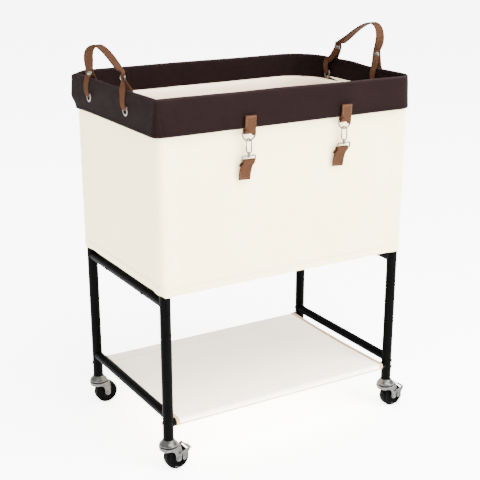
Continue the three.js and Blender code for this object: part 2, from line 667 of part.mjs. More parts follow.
// A tab's section, drawn as (y, z) and swept across its width: a flat stretch and a knuckle.
function tabGeometry(flat, knuckle, boreR) {
  const [knuckleY, knuckleZ] = knuckle;
  const side = (points) => {
    const shape = new THREE.Shape(points.map(([y, z]) => new THREE.Vector2(y, z)));
    const settings = { depth: TAB_W, bevelEnabled: false };
    const geometry = new THREE.ExtrudeGeometry(shape, settings).translate(0, 0, -TAB_W / 2);
    return geometry.applyMatrix4(new THREE.Matrix4().set(0, 0, 1, 0, 1, 0, 0, 0, 0, 1, 0, 0, 0, 0, 0, 1));
  };
  const barrel = rod(TAB_KNUCKLE_R, TAB_W, [0, knuckleY, knuckleZ], 'x', 12);
  const bore = rod(boreR, TAB_W + 2, [0, knuckleY, knuckleZ], 'x', 12);
  return geometryOf(cut(join(side(flat), barrel), bore));
}

function upperTab(number, x) {
  const back = CLIP_Y + TAB_T / 2;
  const front = CLIP_Y - TAB_T / 2;
  const top = COLLAR_TOP_Z - UPPER_TAB_TOP_BELOW_RIM;
  const flat = [[front, RING_BAR_Z], [back, RING_BAR_Z], [back, top], [front, top]];
  const geometry = tabGeometry(flat, [CLIP_Y, RING_BAR_Z], RING_WIRE / 2 + RUN_GAP);
  return mesh(`clip_${number}_upper_tab`, geometry, TAN_LEATHER, [x, 0, 0]);
}

function dOutline(grow, TargetClass) {
  const half = RING_SPAN / 2 + grow;
  const drop = RING_DROP - RING_STRAIGHT + grow;
  const outline = new TargetClass();
  outline.moveTo(half, grow);
  outline.lineTo(-half, grow);
  outline.lineTo(-half, -RING_STRAIGHT);
  outline.absellipse(0, -RING_STRAIGHT, half, drop, Math.PI, 2 * Math.PI, false);
  outline.closePath();
  return outline;
}

function dRing(number, x) {
  const shape = dOutline(RING_WIRE / 2, THREE.Shape);
  shape.holes.push(dOutline(-RING_WIRE / 2, THREE.Path));
  return mesh(`clip_${number}_d_ring`, wireRing(shape, RING_WIRE, 7), NICKEL, [x, CLIP_Y, RING_BAR_Z]);
}

// The hook's eye: an upright oval, drawn about the swivel axis.
function eyeOutline(grow, TargetClass) {
  const half = HOOK_SPAN / 2 + grow;
  const low = HOOK_EYE_LOW_Z + HOOK_ARCH_R - HOOK_WIRE / 2;
  const outline = new TargetClass();
  outline.moveTo(half, HOOK_ARCH_Z);
  outline.absarc(0, HOOK_ARCH_Z, half, 0, Math.PI, false);
  outline.lineTo(-half, low);
  outline.absarc(0, low, half, Math.PI, 2 * Math.PI, false);
  outline.closePath();
  return outline;
}

function snapHook(number) {
  const shape = eyeOutline(HOOK_WIRE / 2, THREE.Shape);
  shape.holes.push(eyeOutline(-HOOK_WIRE / 2, THREE.Path));
  const gateMiddle = GATE_PIVOT_Z + GATE_LENGTH / 2 - GATE_T / 2;
  const mouth = block(2 * HOOK_WIRE, 2 * HOOK_WIRE, GATE_LENGTH + 2 * RUN_GAP,
    [-HOOK_SPAN / 2, 0, gateMiddle]);
  const frameLow = LOOP_FRAME_TOP_Z - LOOP_FRAME_WIRE / 2;
  const pinTop = HOOK_LOW_Z - BARREL_H + 1;
  const headTop = frameLow - GAP;
  const headLow = headTop - 1.2;
  const barrelTop = HOOK_LOW_Z + 1.2;
  const whole = join(
    wireRing(shape, HOOK_WIRE, 4),
    rod(BARREL_R, barrelTop - pinTop + 1, [0, 0, (barrelTop + pinTop - 1) / 2], 'z', 12),
    rod(SWIVEL_PIN_R, pinTop - headLow, [0, 0, (pinTop + headLow) / 2], 'z', 8),
    rod(SWIVEL_HEAD_R, headTop - headLow, [0, 0, (headTop + headLow) / 2], 'z', 10),
  );
  return mesh(`clip_${number}_hook`, geometryOf(cut(whole, mouth)), NICKEL);
}

function gate(number) {
  const half = GATE_T / 2;
  const straight = GATE_LENGTH - GATE_T;
  const outline = new THREE.Shape();
  outline.moveTo(half, 0);
  outline.lineTo(half, straight);
  outline.absarc(0, straight, half, 0, Math.PI, false);
  outline.lineTo(-half, 0);
  outline.absarc(0, 0, half, Math.PI, 2 * Math.PI, false);
  outline.closePath();
  const place = [-HOOK_SPAN / 2, 0, GATE_PIVOT_Z];
  return mesh(`clip_${number}_gate`, upright(outline, GATE_T, 5), NICKEL, place);
}

function webbingLoop(number, x) {
  const outline = (grow, TargetClass) => {
    const halfX = LOOP_FRAME_W / 2 + grow;
    return roundedRect(halfX, LOOP_FRAME_H / 2 + grow, Math.max(0.8, 1.5 + grow), TargetClass);
  };
  const shape = outline(LOOP_FRAME_WIRE / 2, THREE.Shape);
  shape.holes.push(outline(-LOOP_FRAME_WIRE / 2, THREE.Path));
  const middle = (LOOP_FRAME_TOP_Z + LOOP_FRAME_LOW_Z) / 2;
  const ring = wireRing(shape, LOOP_FRAME_WIRE, 2).translate(0, 0, middle);
  const boss = rod(BARREL_R, LOOP_FRAME_WIRE, [0, 0, LOOP_FRAME_TOP_Z], 'z', 12);
  const bore = rod(SWIVEL_PIN_R + RUN_GAP, 3 * LOOP_FRAME_WIRE, [0, 0, LOOP_FRAME_TOP_Z], 'z', 8);
  const geometry = geometryOf(cut(join(ring, boss), bore));
  return mesh(`clip_${number}_loop`, geometry, NICKEL, [x, CLIP_Y, 0]);
}

function lowerTab(number, x) {
  const wall = -(HALF_Y + COVER_OUT + GAP);
  const bottom = LOOP_FRAME_LOW_Z - LOWER_TAB_LENGTH;
  const bend = LOOP_FRAME_LOW_Z - LOWER_TAB_LIFT;
  const flat = [
    [wall - TAB_T, bottom],
    [wall, bottom],
    [wall, bend],
    [CLIP_Y + TAB_T / 2, LOOP_FRAME_LOW_Z],
    [CLIP_Y - TAB_T / 2, LOOP_FRAME_LOW_Z],
    [wall - TAB_T, bend - 1],
  ];
  const bore = LOOP_FRAME_WIRE / 2 + RUN_GAP;
  const geometry = tabGeometry(flat, [CLIP_Y, LOOP_FRAME_LOW_Z], bore);
  return mesh(`clip_${number}_lower_tab`, geometry, TAN_LEATHER, [x, 0, 0]);
}

function clip(x, index) {
  const number = index + 1;
  const turnedHook = new THREE.Group();
  turnedHook.position.set(x, CLIP_Y, 0);
  turnedHook.rotation.z = HOOK_TURN;
  turnedHook.add(snapHook(number), gate(number));
  const group = new THREE.Group();
  group.add(upperTab(number, x), dRing(number, x), turnedHook);
  group.add(webbingLoop(number, x), lowerTab(number, x));
  return group;
}

// ---- Assembly ----------------------------------------------------------------------------

const sorter = new THREE.Group();
sorter.position.set((REACH_LEFT - REACH_RIGHT) / 2, (REACH_FRONT - REACH_REAR) / 2, 0);
sorter.add(...POSTS.map(post), ...frameRails(), baseBoard());
sorter.add(cover(), liner(), collar(), shelfSling());
sorter.add(...POSTS.map(caster), ...handles(), ...CLIP_X.map(clip));

const model = new THREE.Group();
model.add(sorter);
export default model;
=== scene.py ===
"""A laundry sorter on wheels: tube frame, canvas cover, leather collar, strap handles, casters.

Metres throughout, in the frame's own axes: +Z up, +X along the long side, -Y the front.
"""

import math

import bmesh
import bpy
from mathutils import Matrix, Vector, noise


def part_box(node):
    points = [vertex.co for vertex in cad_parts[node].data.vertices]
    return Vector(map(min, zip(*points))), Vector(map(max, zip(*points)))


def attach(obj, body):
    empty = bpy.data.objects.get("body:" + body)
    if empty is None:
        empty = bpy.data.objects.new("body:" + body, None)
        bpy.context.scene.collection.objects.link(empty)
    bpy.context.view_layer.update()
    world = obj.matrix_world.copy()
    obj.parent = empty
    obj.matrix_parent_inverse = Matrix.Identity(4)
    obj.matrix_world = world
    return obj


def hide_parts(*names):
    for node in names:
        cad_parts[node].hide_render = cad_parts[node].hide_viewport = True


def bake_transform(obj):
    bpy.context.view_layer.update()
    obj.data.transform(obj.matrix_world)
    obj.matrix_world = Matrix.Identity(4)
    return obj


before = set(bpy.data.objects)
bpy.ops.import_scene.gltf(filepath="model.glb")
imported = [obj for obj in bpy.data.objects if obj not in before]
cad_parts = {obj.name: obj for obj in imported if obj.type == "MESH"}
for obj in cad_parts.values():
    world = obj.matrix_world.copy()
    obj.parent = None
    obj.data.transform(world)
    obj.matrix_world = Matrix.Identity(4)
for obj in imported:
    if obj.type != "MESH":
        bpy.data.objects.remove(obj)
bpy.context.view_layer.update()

MM = 0.001
ROOT = "frame_and_bag"
CORNERS = ("front_left", "front_right", "rear_right", "rear_left")
CORNER_SIGNS = {
    "front_left": (-1, -1),
    "front_right": (1, -1),
    "rear_right": (1, 1),
    "rear_left": (-1, 1),
}


def middle(node):
    low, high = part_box(node)
    return (low + high) / 2


def height_of(node):
    return middle(node).z / MM


POST = {corner: middle(f"post_{corner}") for corner in CORNERS}
MID_X = (POST["front_left"].x + POST["front_right"].x) / 2
MID_Y = (POST["front_left"].y + POST["rear_left"].y) / 2

# Everything from here on is in millimetres. HX and HY run from the middle to the post centres.
HX = (POST["front_right"].x - MID_X) / MM
HY = (POST["rear_left"].y - MID_Y) / MM
POST_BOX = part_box("post_front_left")
POST_FOOT, POST_TOP = POST_BOX[0].z / MM, POST_BOX[1].z / MM
TUBE = (POST_BOX[1].x - POST["front_left"].x) / MM
COVER_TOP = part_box("canvas_cover")[1].z / MM
LEFT_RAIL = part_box("base_rail_left")
SIDE_RAIL_R = (LEFT_RAIL[1].z - LEFT_RAIL[0].z) / 2 / MM
LONG_RAIL_R, BOSS_R = 5.5, 8.5
BOSS_REACH = 15.5  # from the post centre to the end of a boss


def at(x, y, z):
    """A point given in millimetres from the middle of the posts and from the floor."""
    return Vector((MID_X + x * MM, MID_Y + y * MM, z * MM))


def arc(start, stop, steps):
    """Angles in radians from one to another, both in degrees."""
    return [math.radians(start + (stop - start) * k / steps) for k in range(steps + 1)]


def bow(x, z, radius, start, stop, steps):
    """Points of an arc round (x, z)."""
    return [(x + radius * math.cos(a), z + radius * math.sin(a)) for a in arc(start, stop, steps)]


def mirrored(half):
    """A profile of (radius, height) with its other half below."""
    return half + [(r, -h) for r, h in reversed(half)]


def ease(low, high, value):
    """From 0 at low to 1 at high, level at both."""
    t = min(1.0, max(0.0, (value - low) / (high - low)))
    return t * t * (3 - 2 * t)


# ---- Node trees --------------------------------------------------------------------------


class Wire:
    """One output of a node. Arithmetic on it adds Math nodes."""

    def __init__(self, tree, socket):
        self.tree, self.socket = tree, socket

    def __add__(self, other):
        return self.tree.maths("ADD", self, other)

    def __radd__(self, other):
        return self.tree.maths("ADD", other, self)

    def __sub__(self, other):
        return self.tree.maths("SUBTRACT", self, other)

    def __rsub__(self, other):
        return self.tree.maths("SUBTRACT", other, self)

    def __mul__(self, other):
        return self.tree.maths("MULTIPLY", self, other)

    def __rmul__(self, other):
        return self.tree.maths("MULTIPLY", other, self)

    def other(self, index):
        """Another output of the same node."""
        return Wire(self.tree, self.socket.node.outputs[index])


class Nodes:
    """A node tree that is filled by one method."""

    def __init__(self, tree):
        self.tree = tree

    def add(self, kind, settings=None, values=None, out=0):
        """A node with its settings, then its sockets' values or links. Gives back one output."""
        node = self.tree.nodes.new(kind)
        for name, value in (settings or {}).items():
            if name == "stops":
                self._stops(node.color_ramp, value)
            else:
                setattr(node, name, value)
        for name, value in (values or {}).items():
            if isinstance(value, Wire):
                self.tree.links.new(value.socket, node.inputs[name])
            else:
                node.inputs[name].default_value = value
        return Wire(self, node.outputs[out]) if node.outputs else node

    def maths(self, operation, *values):
        return self.add("ShaderNodeMath", {"operation": operation}, dict(enumerate(values)))

    @staticmethod
    def _stops(ramp, stops):
        while len(ramp.elements) < len(stops):
            ramp.elements.new(0.5)
        for element, (place, value) in zip(ramp.elements, stops):
            element.position = place
            element.color = value if hasattr(value, "__len__") else (value, value, value, 1)

    def ramp(self, value, *stops):
        return self.add("ShaderNodeValToRGB", {"stops": stops}, {0: value})

    def noise(self, place, scale, detail, roughness=0.55):
        values = {"Vector": place, "Scale": scale, "Detail": detail, "Roughness": roughness}
        return self.add("ShaderNodeTexNoise", {}, values)

    def tint(self, amount, first, second):
        mix = {0: amount, 6: first, 7: second}
        return self.add("ShaderNodeMix", {"data_type": "RGBA"}, mix, out=2)

    def stretched(self, place, scale):
        return self.add("ShaderNodeMapping", {}, {"Vector": place, "Scale": scale})


def rgb(red, green, blue):
    return (red, green, blue, 1.0)


class Finish(Nodes):
    """A material: its tree, with the shader's fixed values set on its own sockets."""

    def __init__(self, name, **fixed):
        self.material = bpy.data.materials.new(name)
        self.material.use_nodes = True
        super().__init__(self.material.node_tree)
        self.shader = self.tree.nodes["Principled BSDF"]
        for socket, value in fixed.items():
            self.shader.inputs[socket.replace("_", " ")].default_value = value
        self.object = self.add("ShaderNodeTexCoord", {}, {}, out=3)
        self.cloth = self.add("ShaderNodeUVMap", {"uv_map": "cut"})

    def feed(self, **links):
        for socket, value in links.items():
            self.tree.links.new(value.socket, self.shader.inputs[socket.replace("_", " ")])

    def relief(self, height, depth, under=None):
        """Bump of that depth in metres, over another if one is given."""
        values = {"Height": height, "Strength": 1.0, "Distance": depth}
        if under is not None:
            values["Normal"] = under
        return self.add("ShaderNodeBump", {}, values)

    def mark(self, name):
        return self.add("ShaderNodeAttribute", {"attribute_name": name}, {}, out=2)


# ---- Finishes ----------------------------------------------------------------------------


def powder_coat():
    f = Finish("black_powder_coat", Specular_IOR_Level=0.008)
    cloud = f.noise(f.object, 9.0, 4.0)
    peel = f.noise(f.object, 620.0, 2.0)
    dust = f.ramp(f.noise(f.object, 38.0, 5.0, 0.65), (0.5, 0.0), (0.78, 1.0))
    colour = f.tint(cloud, rgb(0.0004, 0.0004, 0.0004), rgb(0.0011, 0.0011, 0.0012))
    f.feed(Base_Color=f.tint(dust * 0.05, colour, rgb(0.012, 0.0118, 0.0115)))
    f.feed(Roughness=0.3 + cloud * 0.12 + dust * 0.1)
    f.feed(Normal=f.relief(peel, 0.00012))
    return f.material


def zinc_plate():
    f = Finish("zinc_plate", Metallic=1.0)
    cloud = f.noise(f.object, 60.0, 4.0, 0.6)
    rub = f.noise(f.stretched(f.object, (90.0, 1500.0, 260.0)), 1.0, 2.0)
    spangle = f.add("ShaderNodeTexVoronoi", {"feature": "F1"}, {"Vector": f.object, "Scale": 240.0})
    shade = f.tint(cloud, rgb(0.012, 0.012, 0.012), rgb(0.11, 0.108, 0.104))
    f.feed(Base_Color=f.tint(spangle * 0.35, shade, rgb(0.01, 0.01, 0.01)))
    f.feed(Roughness=0.17 + cloud * 0.2 + rub * 0.12)
    f.feed(Normal=f.relief(rub, 0.00005, f.relief(cloud, 0.0004)))
    return f.material


def nickel_plate():
    f = Finish("nickel_plate", Metallic=1.0)
    cloud = f.noise(f.object, 110.0, 4.0, 0.6)
    rub = f.noise(f.stretched(f.object, (1300.0, 200.0, 300.0)), 1.0, 2.0)
    f.feed(Base_Color=f.tint(cloud, rgb(0.03, 0.027, 0.023), rgb(0.15, 0.14, 0.122)))
    f.feed(Roughness=0.12 + cloud * 0.14 + rub * 0.1)
    f.feed(Normal=f.relief(rub, 0.00003))
    return f.material


def wheel_rubber():
    f = Finish("wheel_rubber", Specular_IOR_Level=0.01)
    cloud = f.noise(f.object, 70.0, 4.0, 0.6)
    grit = f.noise(f.object, 900.0, 2.0)
    scuff = f.ramp(f.noise(f.object, 160.0, 4.0, 0.7), (0.52, 0.0), (0.72, 1.0))
    colour = f.tint(cloud, rgb(0.0004, 0.0004, 0.0004), rgb(0.0011, 0.0011, 0.0012))
    f.feed(Base_Color=f.tint(scuff * 0.12, colour, rgb(0.009, 0.0088, 0.0085)))
    f.feed(Roughness=0.4 + cloud * 0.2 + scuff * 0.15)
    f.feed(Normal=f.relief(grit, 0.00008))
    return f.material


def weave(f, pitch):
    """Height of a plain weave with threads that far apart: each set rises over the other."""
    across = f.add("ShaderNodeSeparateXYZ", {}, {0: f.cloth}, out=0)
    along = f.add("ShaderNodeSeparateXYZ", {}, {0: f.cloth}, out=1)
    slub = f.noise(f.cloth, 130.0, 3.0)
    turn = math.pi / pitch
    u = f.maths("SINE", across * turn + slub * 0.8)
    v = f.maths("SINE", along * turn + slub * 0.8)
    return 0.5 + u * v * 0.22 + (f.maths("ABSOLUTE", u) + f.maths("ABSOLUTE", v)) * 0.14


def woven(name, light, dark, pitch, depth):
    """Cloth of plain weave: cloudy dye, darker flecks of thread, soft unevenness, and painted shade in
    the weave's hollows.
    """
    f = Finish(name, Sheen_Weight=0.18, Sheen_Roughness=0.55, Specular_IOR_Level=0.25)
    threads = weave(f, pitch)
    cloud = f.ramp(f.noise(f.object, 7.0, 5.0, 0.6), (0.35, 0.0), (0.75, 1.0))
    slubs = f.noise(f.stretched(f.cloth, (160.0, 900.0, 1.0)), 1.0, 2.0)
    fleck = f.ramp(slubs, (0.62, 0.0), (0.72, 1.0))
    base = f.tint(cloud * 0.55, rgb(*light), rgb(*dark))
    base = f.tint(fleck * 0.14, base, rgb(dark[0] * 0.7, dark[1] * 0.66, dark[2] * 0.58))
    # Painted light and shade: thread crowns are tinted lighter than the weave's hollows, following the
    # weave's height.
    f.feed(Base_Color=f.tint(threads * 0.3, base, rgb(*light)))
    f.feed(Roughness=0.86 + cloud * 0.08)
    soft = f.relief(f.noise(f.cloth, 46.0, 4.0, 0.6), 0.0006)
    f.feed(Normal=f.relief(threads, depth, soft))
    return f.material


def hide(name, light, dark, edge_wear_and_highlight, grain, rough, gloss):
    """Leather: cells of grain with creases between, the creases painted darker as shade, cloudy dye,
    and an edge colour along marked edges: wear, and on the dark collar's rim a painted highlight.
    """
    f = Finish(name, Specular_IOR_Level=gloss)
    wobble = f.add("ShaderNodeTexNoise", {}, {"Vector": f.object, "Scale": 90.0}, out=1)
    bent = {"Vector": f.tint(0.004, f.object, wobble), "Scale": grain}
    cells = f.add("ShaderNodeTexVoronoi", {"feature": "DISTANCE_TO_EDGE"}, bent)
    pebble = f.ramp(cells, (0.0, 0.0), (0.16, 1.0))
    pore = f.noise(f.object, grain * 2.6, 3.0)
    cloud = f.noise(f.object, 16.0, 5.0, 0.6)
    streak = f.noise(f.stretched(f.object, (34.0, 34.0, 60.0)), 1.0, 5.0, 0.7)
    rub = f.mark("edge")
    dye = f.tint(cloud, rgb(*light), rgb(*dark))
    # Painted shade: the creases between grain cells are tinted darker, following the same cells that
    # make the bump.
    dye = f.tint((1.0 - pebble) * 0.4, dye, rgb(dark[0] * 0.55, dark[1] * 0.5, dark[2] * 0.5))
    # Marked edges take the edge colour: wear on the tan straps and at the collar's foot, and a painted
    # highlight along the dark collar's rim.
    f.feed(Base_Color=f.tint(rub * (0.45 + streak * 0.5), dye, rgb(*edge_wear_and_highlight)))
    f.feed(Roughness=rough + cloud * 0.14 + (1.0 - pebble) * 0.12 - rub * 0.05)
    crease = f.relief(pebble, 0.00012, f.relief(cloud, 0.0005))
    f.feed(Normal=f.relief(pore, 0.00006, crease))
    return f.material


def sewing_thread(name, colour):
    f = Finish(name, Specular_IOR_Level=0.03)
    lay = {"Vector": f.object, "Scale": 900.0}
    ply = f.add("ShaderNodeTexWave", {"bands_direction": "DIAGONAL"}, lay)
    dark = rgb(*(part * 0.6 for part in colour))
    # Painted shade: the colour follows the ply's relief, darker in the grooves of the twist.
    f.feed(Base_Color=f.tint(ply, dark, rgb(*colour)))
    f.feed(Roughness=0.5 + ply * 0.25)
    f.feed(Normal=f.relief(ply, 0.0001))
    return f.material


def pressed_board():
    f = Finish("pressed_board", Specular_IOR_Level=0.3)
    fibre = f.noise(f.stretched(f.object, (300.0, 900.0, 300.0)), 1.0, 4.0)
    f.feed(Base_Color=f.tint(fibre, rgb(0.16, 0.15, 0.14), rgb(0.26, 0.25, 0.23)))
    f.feed(Roughness=0.7 + fibre * 0.2)
    f.feed(Normal=f.relief(fibre, 0.0003))
    return f.material


FLOOR_GLOW = 5.0


def pale_floor():
    f = Finish("pale_floor", Specular_IOR_Level=0.2, Emission_Strength=FLOOR_GLOW)
    cloud = f.noise(f.object, 1.5, 3.0)
    f.shader.inputs["Emission Color"].default_value = rgb(1.0, 1.0, 1.0)
    f.feed(Base_Color=f.tint(cloud, rgb(0.93, 0.93, 0.93), rgb(0.95, 0.95, 0.95)))
    f.feed(Roughness=0.75 + cloud * 0.1)
    return f.material


COAT = powder_coat()
ZINC = zinc_plate()
NICKEL = nickel_plate()
RUBBER = wheel_rubber()
CANVAS = woven("cream_canvas", (0.78, 0.68, 0.39), (0.71, 0.60, 0.32), 0.0007, 0.00035)
LINING = woven("lining_cloth", (0.70, 0.57, 0.43), (0.60, 0.48, 0.35), 0.0005, 0.0002)
SLING = woven("sling_cloth", (0.97, 0.87, 0.70), (0.93, 0.82, 0.64), 0.0005, 0.0002)
TAPE = woven("binding_tape", (0.42, 0.27, 0.13), (0.34, 0.21, 0.09), 0.0008, 0.0003)
# Leathers: two dyes, the edge colour (wear; on the dark leather it is lighter and also paints a
# highlight along the collar's rim), then cells per metre, roughness and gloss.
DARK_DYES = ((0.0068, 0.0037, 0.0037), (0.0045, 0.0025, 0.0025), (0.022, 0.0145, 0.016))
TAN_DYES = ((0.044, 0.0205, 0.0112), (0.029, 0.0128, 0.0068), (0.020, 0.0078, 0.0036))
DARK_HIDE = hide("dark_leather", *DARK_DYES, 520.0, 0.5, 0.007)
TAN_HIDE = hide("tan_leather", *TAN_DYES, 800.0, 0.62, 0.012)
BOARD = pressed_board()
CREAM_THREAD = sewing_thread("cream_thread", (0.78, 0.72, 0.6))
DARK_THREAD = sewing_thread("dark_thread", (0.006, 0.0035, 0.0034))
TAN_THREAD = sewing_thread("tan_thread", (0.16, 0.085, 0.045))


# ---- Mesh helpers ------------------------------------------------------------------------
# Shapes are drawn in millimetres from the middle of the posts and from the floor.


def link(name, data):
    made = bpy.data.objects.new(name, data)
    bpy.context.scene.collection.objects.link(made)
    return made


def piece(name, shape, material, body, slot, cut=None, edge=None, place=None):
    """A smooth mesh piece that rides on a body. cut is each point's place on the flat cloth."""
    points, faces = shape
    where = place or Matrix.Identity(4)
    data = bpy.data.meshes.new(name)
    data.from_pydata([at(*(where @ Vector(p))) for p in points], [], faces)
    data.materials.append(material)
    data.polygons.foreach_set("use_smooth", [True] * len(data.polygons))
    if cut is not None:
        layer = data.uv_layers.new(name="cut")
        for loop in data.loops:
            u, v = cut[loop.vertex_index]
            layer.data[loop.index].uv = (u * MM, v * MM)
    if edge is not None:
        data.attributes.new("edge", "FLOAT", "POINT").data.foreach_set("value", edge)
    made = link(name, data)
    tidy(made)
    if body:
        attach(made, body)
    return made


def stand_in(node, *where, sharp=None, **extras):
    """A piece that takes the place and the name of a CAD node."""
    made = piece(node, *where, **extras)
    if sharp:
        crisp(made, sharp)
    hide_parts(node)
    return made


def tidy(made):
    """Merges doubled points, drops faces that vanished, and points every face outward."""
    shape = bmesh.new()
    shape.from_mesh(made.data)
    bmesh.ops.remove_doubles(shape, verts=shape.verts, dist=1e-6)
    bmesh.ops.dissolve_degenerate(shape, edges=shape.edges, dist=1e-7)
    bmesh.ops.recalc_face_normals(shape, faces=shape.faces)
    shape.to_mesh(made.data)
    shape.free()
    made.data.update()


def crisp(made, degrees):
    """Smooth shading that breaks at sharp bends."""
    shape = bmesh.new()
    shape.from_mesh(made.data)
    for edge in shape.edges:
        edge.smooth = len(edge.link_faces) == 2 and edge.calc_face_angle(0) < math.radians(degrees)
    shape.to_mesh(made.data)
    shape.free()
    return made


def baked(made):
    """Replaces a piece's live modifiers by their result."""
    graph = bpy.context.evaluated_depsgraph_get()
    graph.update()
    data = bpy.data.meshes.new_from_object(made.evaluated_get(graph), depsgraph=graph)
    made.modifiers.clear()
    made.data = data
    return made


def thicken(made, thickness):
    solid = made.modifiers.new("thickness", "SOLIDIFY")
    solid.thickness = thickness * MM
    solid.offset = -1.0
    solid.use_even_offset = True
    return baked(made)


def grid_faces(rows, columns, wrap_rows=False, wrap_columns=False):
    last_row = rows if wrap_rows else rows - 1
    last_column = columns if wrap_columns else columns - 1
    return [
        (
            r * columns + c,
            r * columns + (c + 1) % columns,
            (r + 1) % rows * columns + (c + 1) % columns,
            (r + 1) % rows * columns + c,
        )
        for r in range(last_row)
        for c in range(last_column)
    ]


def merge(*parts):
    """Several shapes joined into one."""
    points, faces = [], []
    for more_points, more_faces in parts:
        start = len(points)
        points += more_points
        faces += [tuple(start + i for i in face) for face in more_faces]
    return points, faces


def turned(profile, centre=(0, 0, 0), axis="z", sides=48, closed=False):
    """A profile of (radius, height) turned about an axis through centre."""
    points = []
    for k in range(sides):
        angle = 2 * math.pi * k / sides
        for radius, height in profile:
            a, b = radius * math.cos(angle), radius * math.sin(angle)
            place = {"z": (a, b, height), "y": (b, height, a), "x": (height, a, b)}
            points.append(Vector(centre) + Vector(place[axis]))
    return points, grid_faces(sides, len(profile), wrap_rows=True, wrap_columns=closed)


def slab(outline, low, high, bevel, axis="y"):
    """A flat outline made solid between two heights along an axis, with its edges broken."""
    count = len(outline)
    centre = sum((Vector(p) for p in outline), Vector((0, 0))) / count
    inner = []
    for k in range(count):
        a, b, c = (Vector(outline[(k + i - 1) % count]) for i in range(3))
        along = (c - a).normalized()
        side = Vector((-along.y, along.x))
        if side.dot(centre - b) < 0 and abs(side.dot((centre - b).normalized())) > 0.05:
            side = -side
        inner.append(b + side * bevel)
    rings = [(inner, low), (outline, low + bevel), (outline, high - bevel), (inner, high)]
    points = []
    for ring, height in rings:
        for u, v in ring:
            points.append(Vector({"y": (u, height, v), "z": (u, v, height)}[axis]))
    faces = grid_faces(4, count, wrap_columns=True)
    faces.append(tuple(reversed(range(count))))
    faces.append(tuple(range(3 * count, 4 * count)))
    return points, faces


def catmull(points, steps, closed=False):
    """A smooth line through points, with that many steps between each two."""
    points = [Vector(p) for p in points]
    count = len(points)
    line = []
    for k in range(count if closed else count - 1):
        if closed:
            a, b, c, d = (points[(k + i - 1) % count] for i in range(4))
        else:
            b, c = points[k], points[k + 1]
            a = points[k - 1] if k else b * 2 - c
            d = points[k + 2] if k + 2 < count else c * 2 - b
        for s in range(steps):
            t = s / steps
            slope, bend, twist = c - a, a * 2 - b * 5 + c * 4 - d, b * 3 - a - c * 3 + d
            line.append((b * 2 + slope * t + bend * (t * t) + twist * (t * t * t)) / 2)
    if not closed:
        line.append(points[-1].copy())
    return line


def wire(line, radius, closed=False, sides=12):
    """A round wire along a line, with rounded ends if it is open."""
    line = [Vector(p) for p in line]
    count = len(line)
    tangents = []
    for k in range(count):
        ahead = line[(k + 1) % count] if closed or k + 1 < count else line[k]
        behind = line[k - 1] if closed or k else line[k]
        tangents.append((ahead - behind).normalized())
    up = Vector((0, 0, 1)) if abs(tangents[0].z) < 0.9 else Vector((1, 0, 0))
    side = tangents[0].cross(up).normalized()
    rings = []
    for place, tangent in zip(line, tangents):
        side = (side - tangent * side.dot(tangent)).normalized()
        rings.append((place, side.copy(), tangent.cross(side), radius))
    if not closed:
        rounding = ((0.96, 0.28), (0.75, 0.66), (0.38, 0.92))
        place, a, b, _ = rings[0]
        start = [(place - tangents[0] * radius * s, a, b, radius * r) for s, r in rounding]
        place, a, b, _ = rings[-1]
        end = [(place + tangents[-1] * radius * s, a, b, radius * r) for s, r in reversed(rounding)]
        rings = start + rings + end
    points = []
    for place, a, b, r in rings:
        for k in range(sides):
            angle = 2 * math.pi * k / sides
            points.append(place + a * (r * math.cos(angle)) + b * (r * math.sin(angle)))
    faces = grid_faces(len(rings), sides, wrap_rows=closed, wrap_columns=True)
    if not closed:
        faces.append(tuple(reversed(range(sides))))
        faces.append(tuple(range((len(rings) - 1) * sides, len(rings) * sides)))
    return points, faces


def strap_section(width, thickness, steps=8):
    """Points round a flat strap's section, with rounded edges."""
    half, r = width / 2, thickness / 2
    flat = half - r
    ring = [(-flat + 2 * flat * k / steps, r) for k in range(steps + 1)]
    ring += [(flat + r * math.sin(k * math.pi / 4), r * math.cos(k * math.pi / 4)) for k in (1, 2, 3)]
    ring += [(flat - 2 * flat * k / steps, -r) for k in range(steps + 1)]
    ring += [(-flat - r * math.sin(k * math.pi / 4), -r * math.cos(k * math.pi / 4)) for k in (1, 2, 3)]
    return ring


def strap(controls, thickness, steps=6):
    """A flat strap through controls of (x, y, z, width, angle of its width from +X).

    Gives its shape, each point's place on the flat strap, and how near each is to an edge.
    """
    line = catmull(controls, steps)
    points, cut, edge = [], [], []
    travelled, count = 0.0, len(line)
    for k, spot in enumerate(line):
        place = Vector(spot[:3])
        ahead = Vector(line[min(k + 1, count - 1)][:3])
        behind = Vector(line[max(k - 1, 0)][:3])
        tangent = (ahead - behind).normalized()
        turn = math.radians(spot[4])
        side = Vector((math.cos(turn), math.sin(turn), 0))
        side = (side - tangent * side.dot(tangent)).normalized()
        face = side.cross(tangent).normalized()
        travelled += (place - behind).length
        width = spot[3]
        section = strap_section(width, thickness)
        for u, v in section:
            points.append(place + side * u + face * v)
            cut.append((u, travelled))
            edge.append(ease(0.74, 1.0, abs(2 * u / width)))
    ring = len(section)
    faces = grid_faces(count, ring, wrap_columns=True)
    faces.append(tuple(reversed(range(ring))))
    faces.append(tuple(range((count - 1) * ring, count * ring)))
    return (points, faces), cut, edge


# ---- Pieces made by geometry nodes -------------------------------------------------------


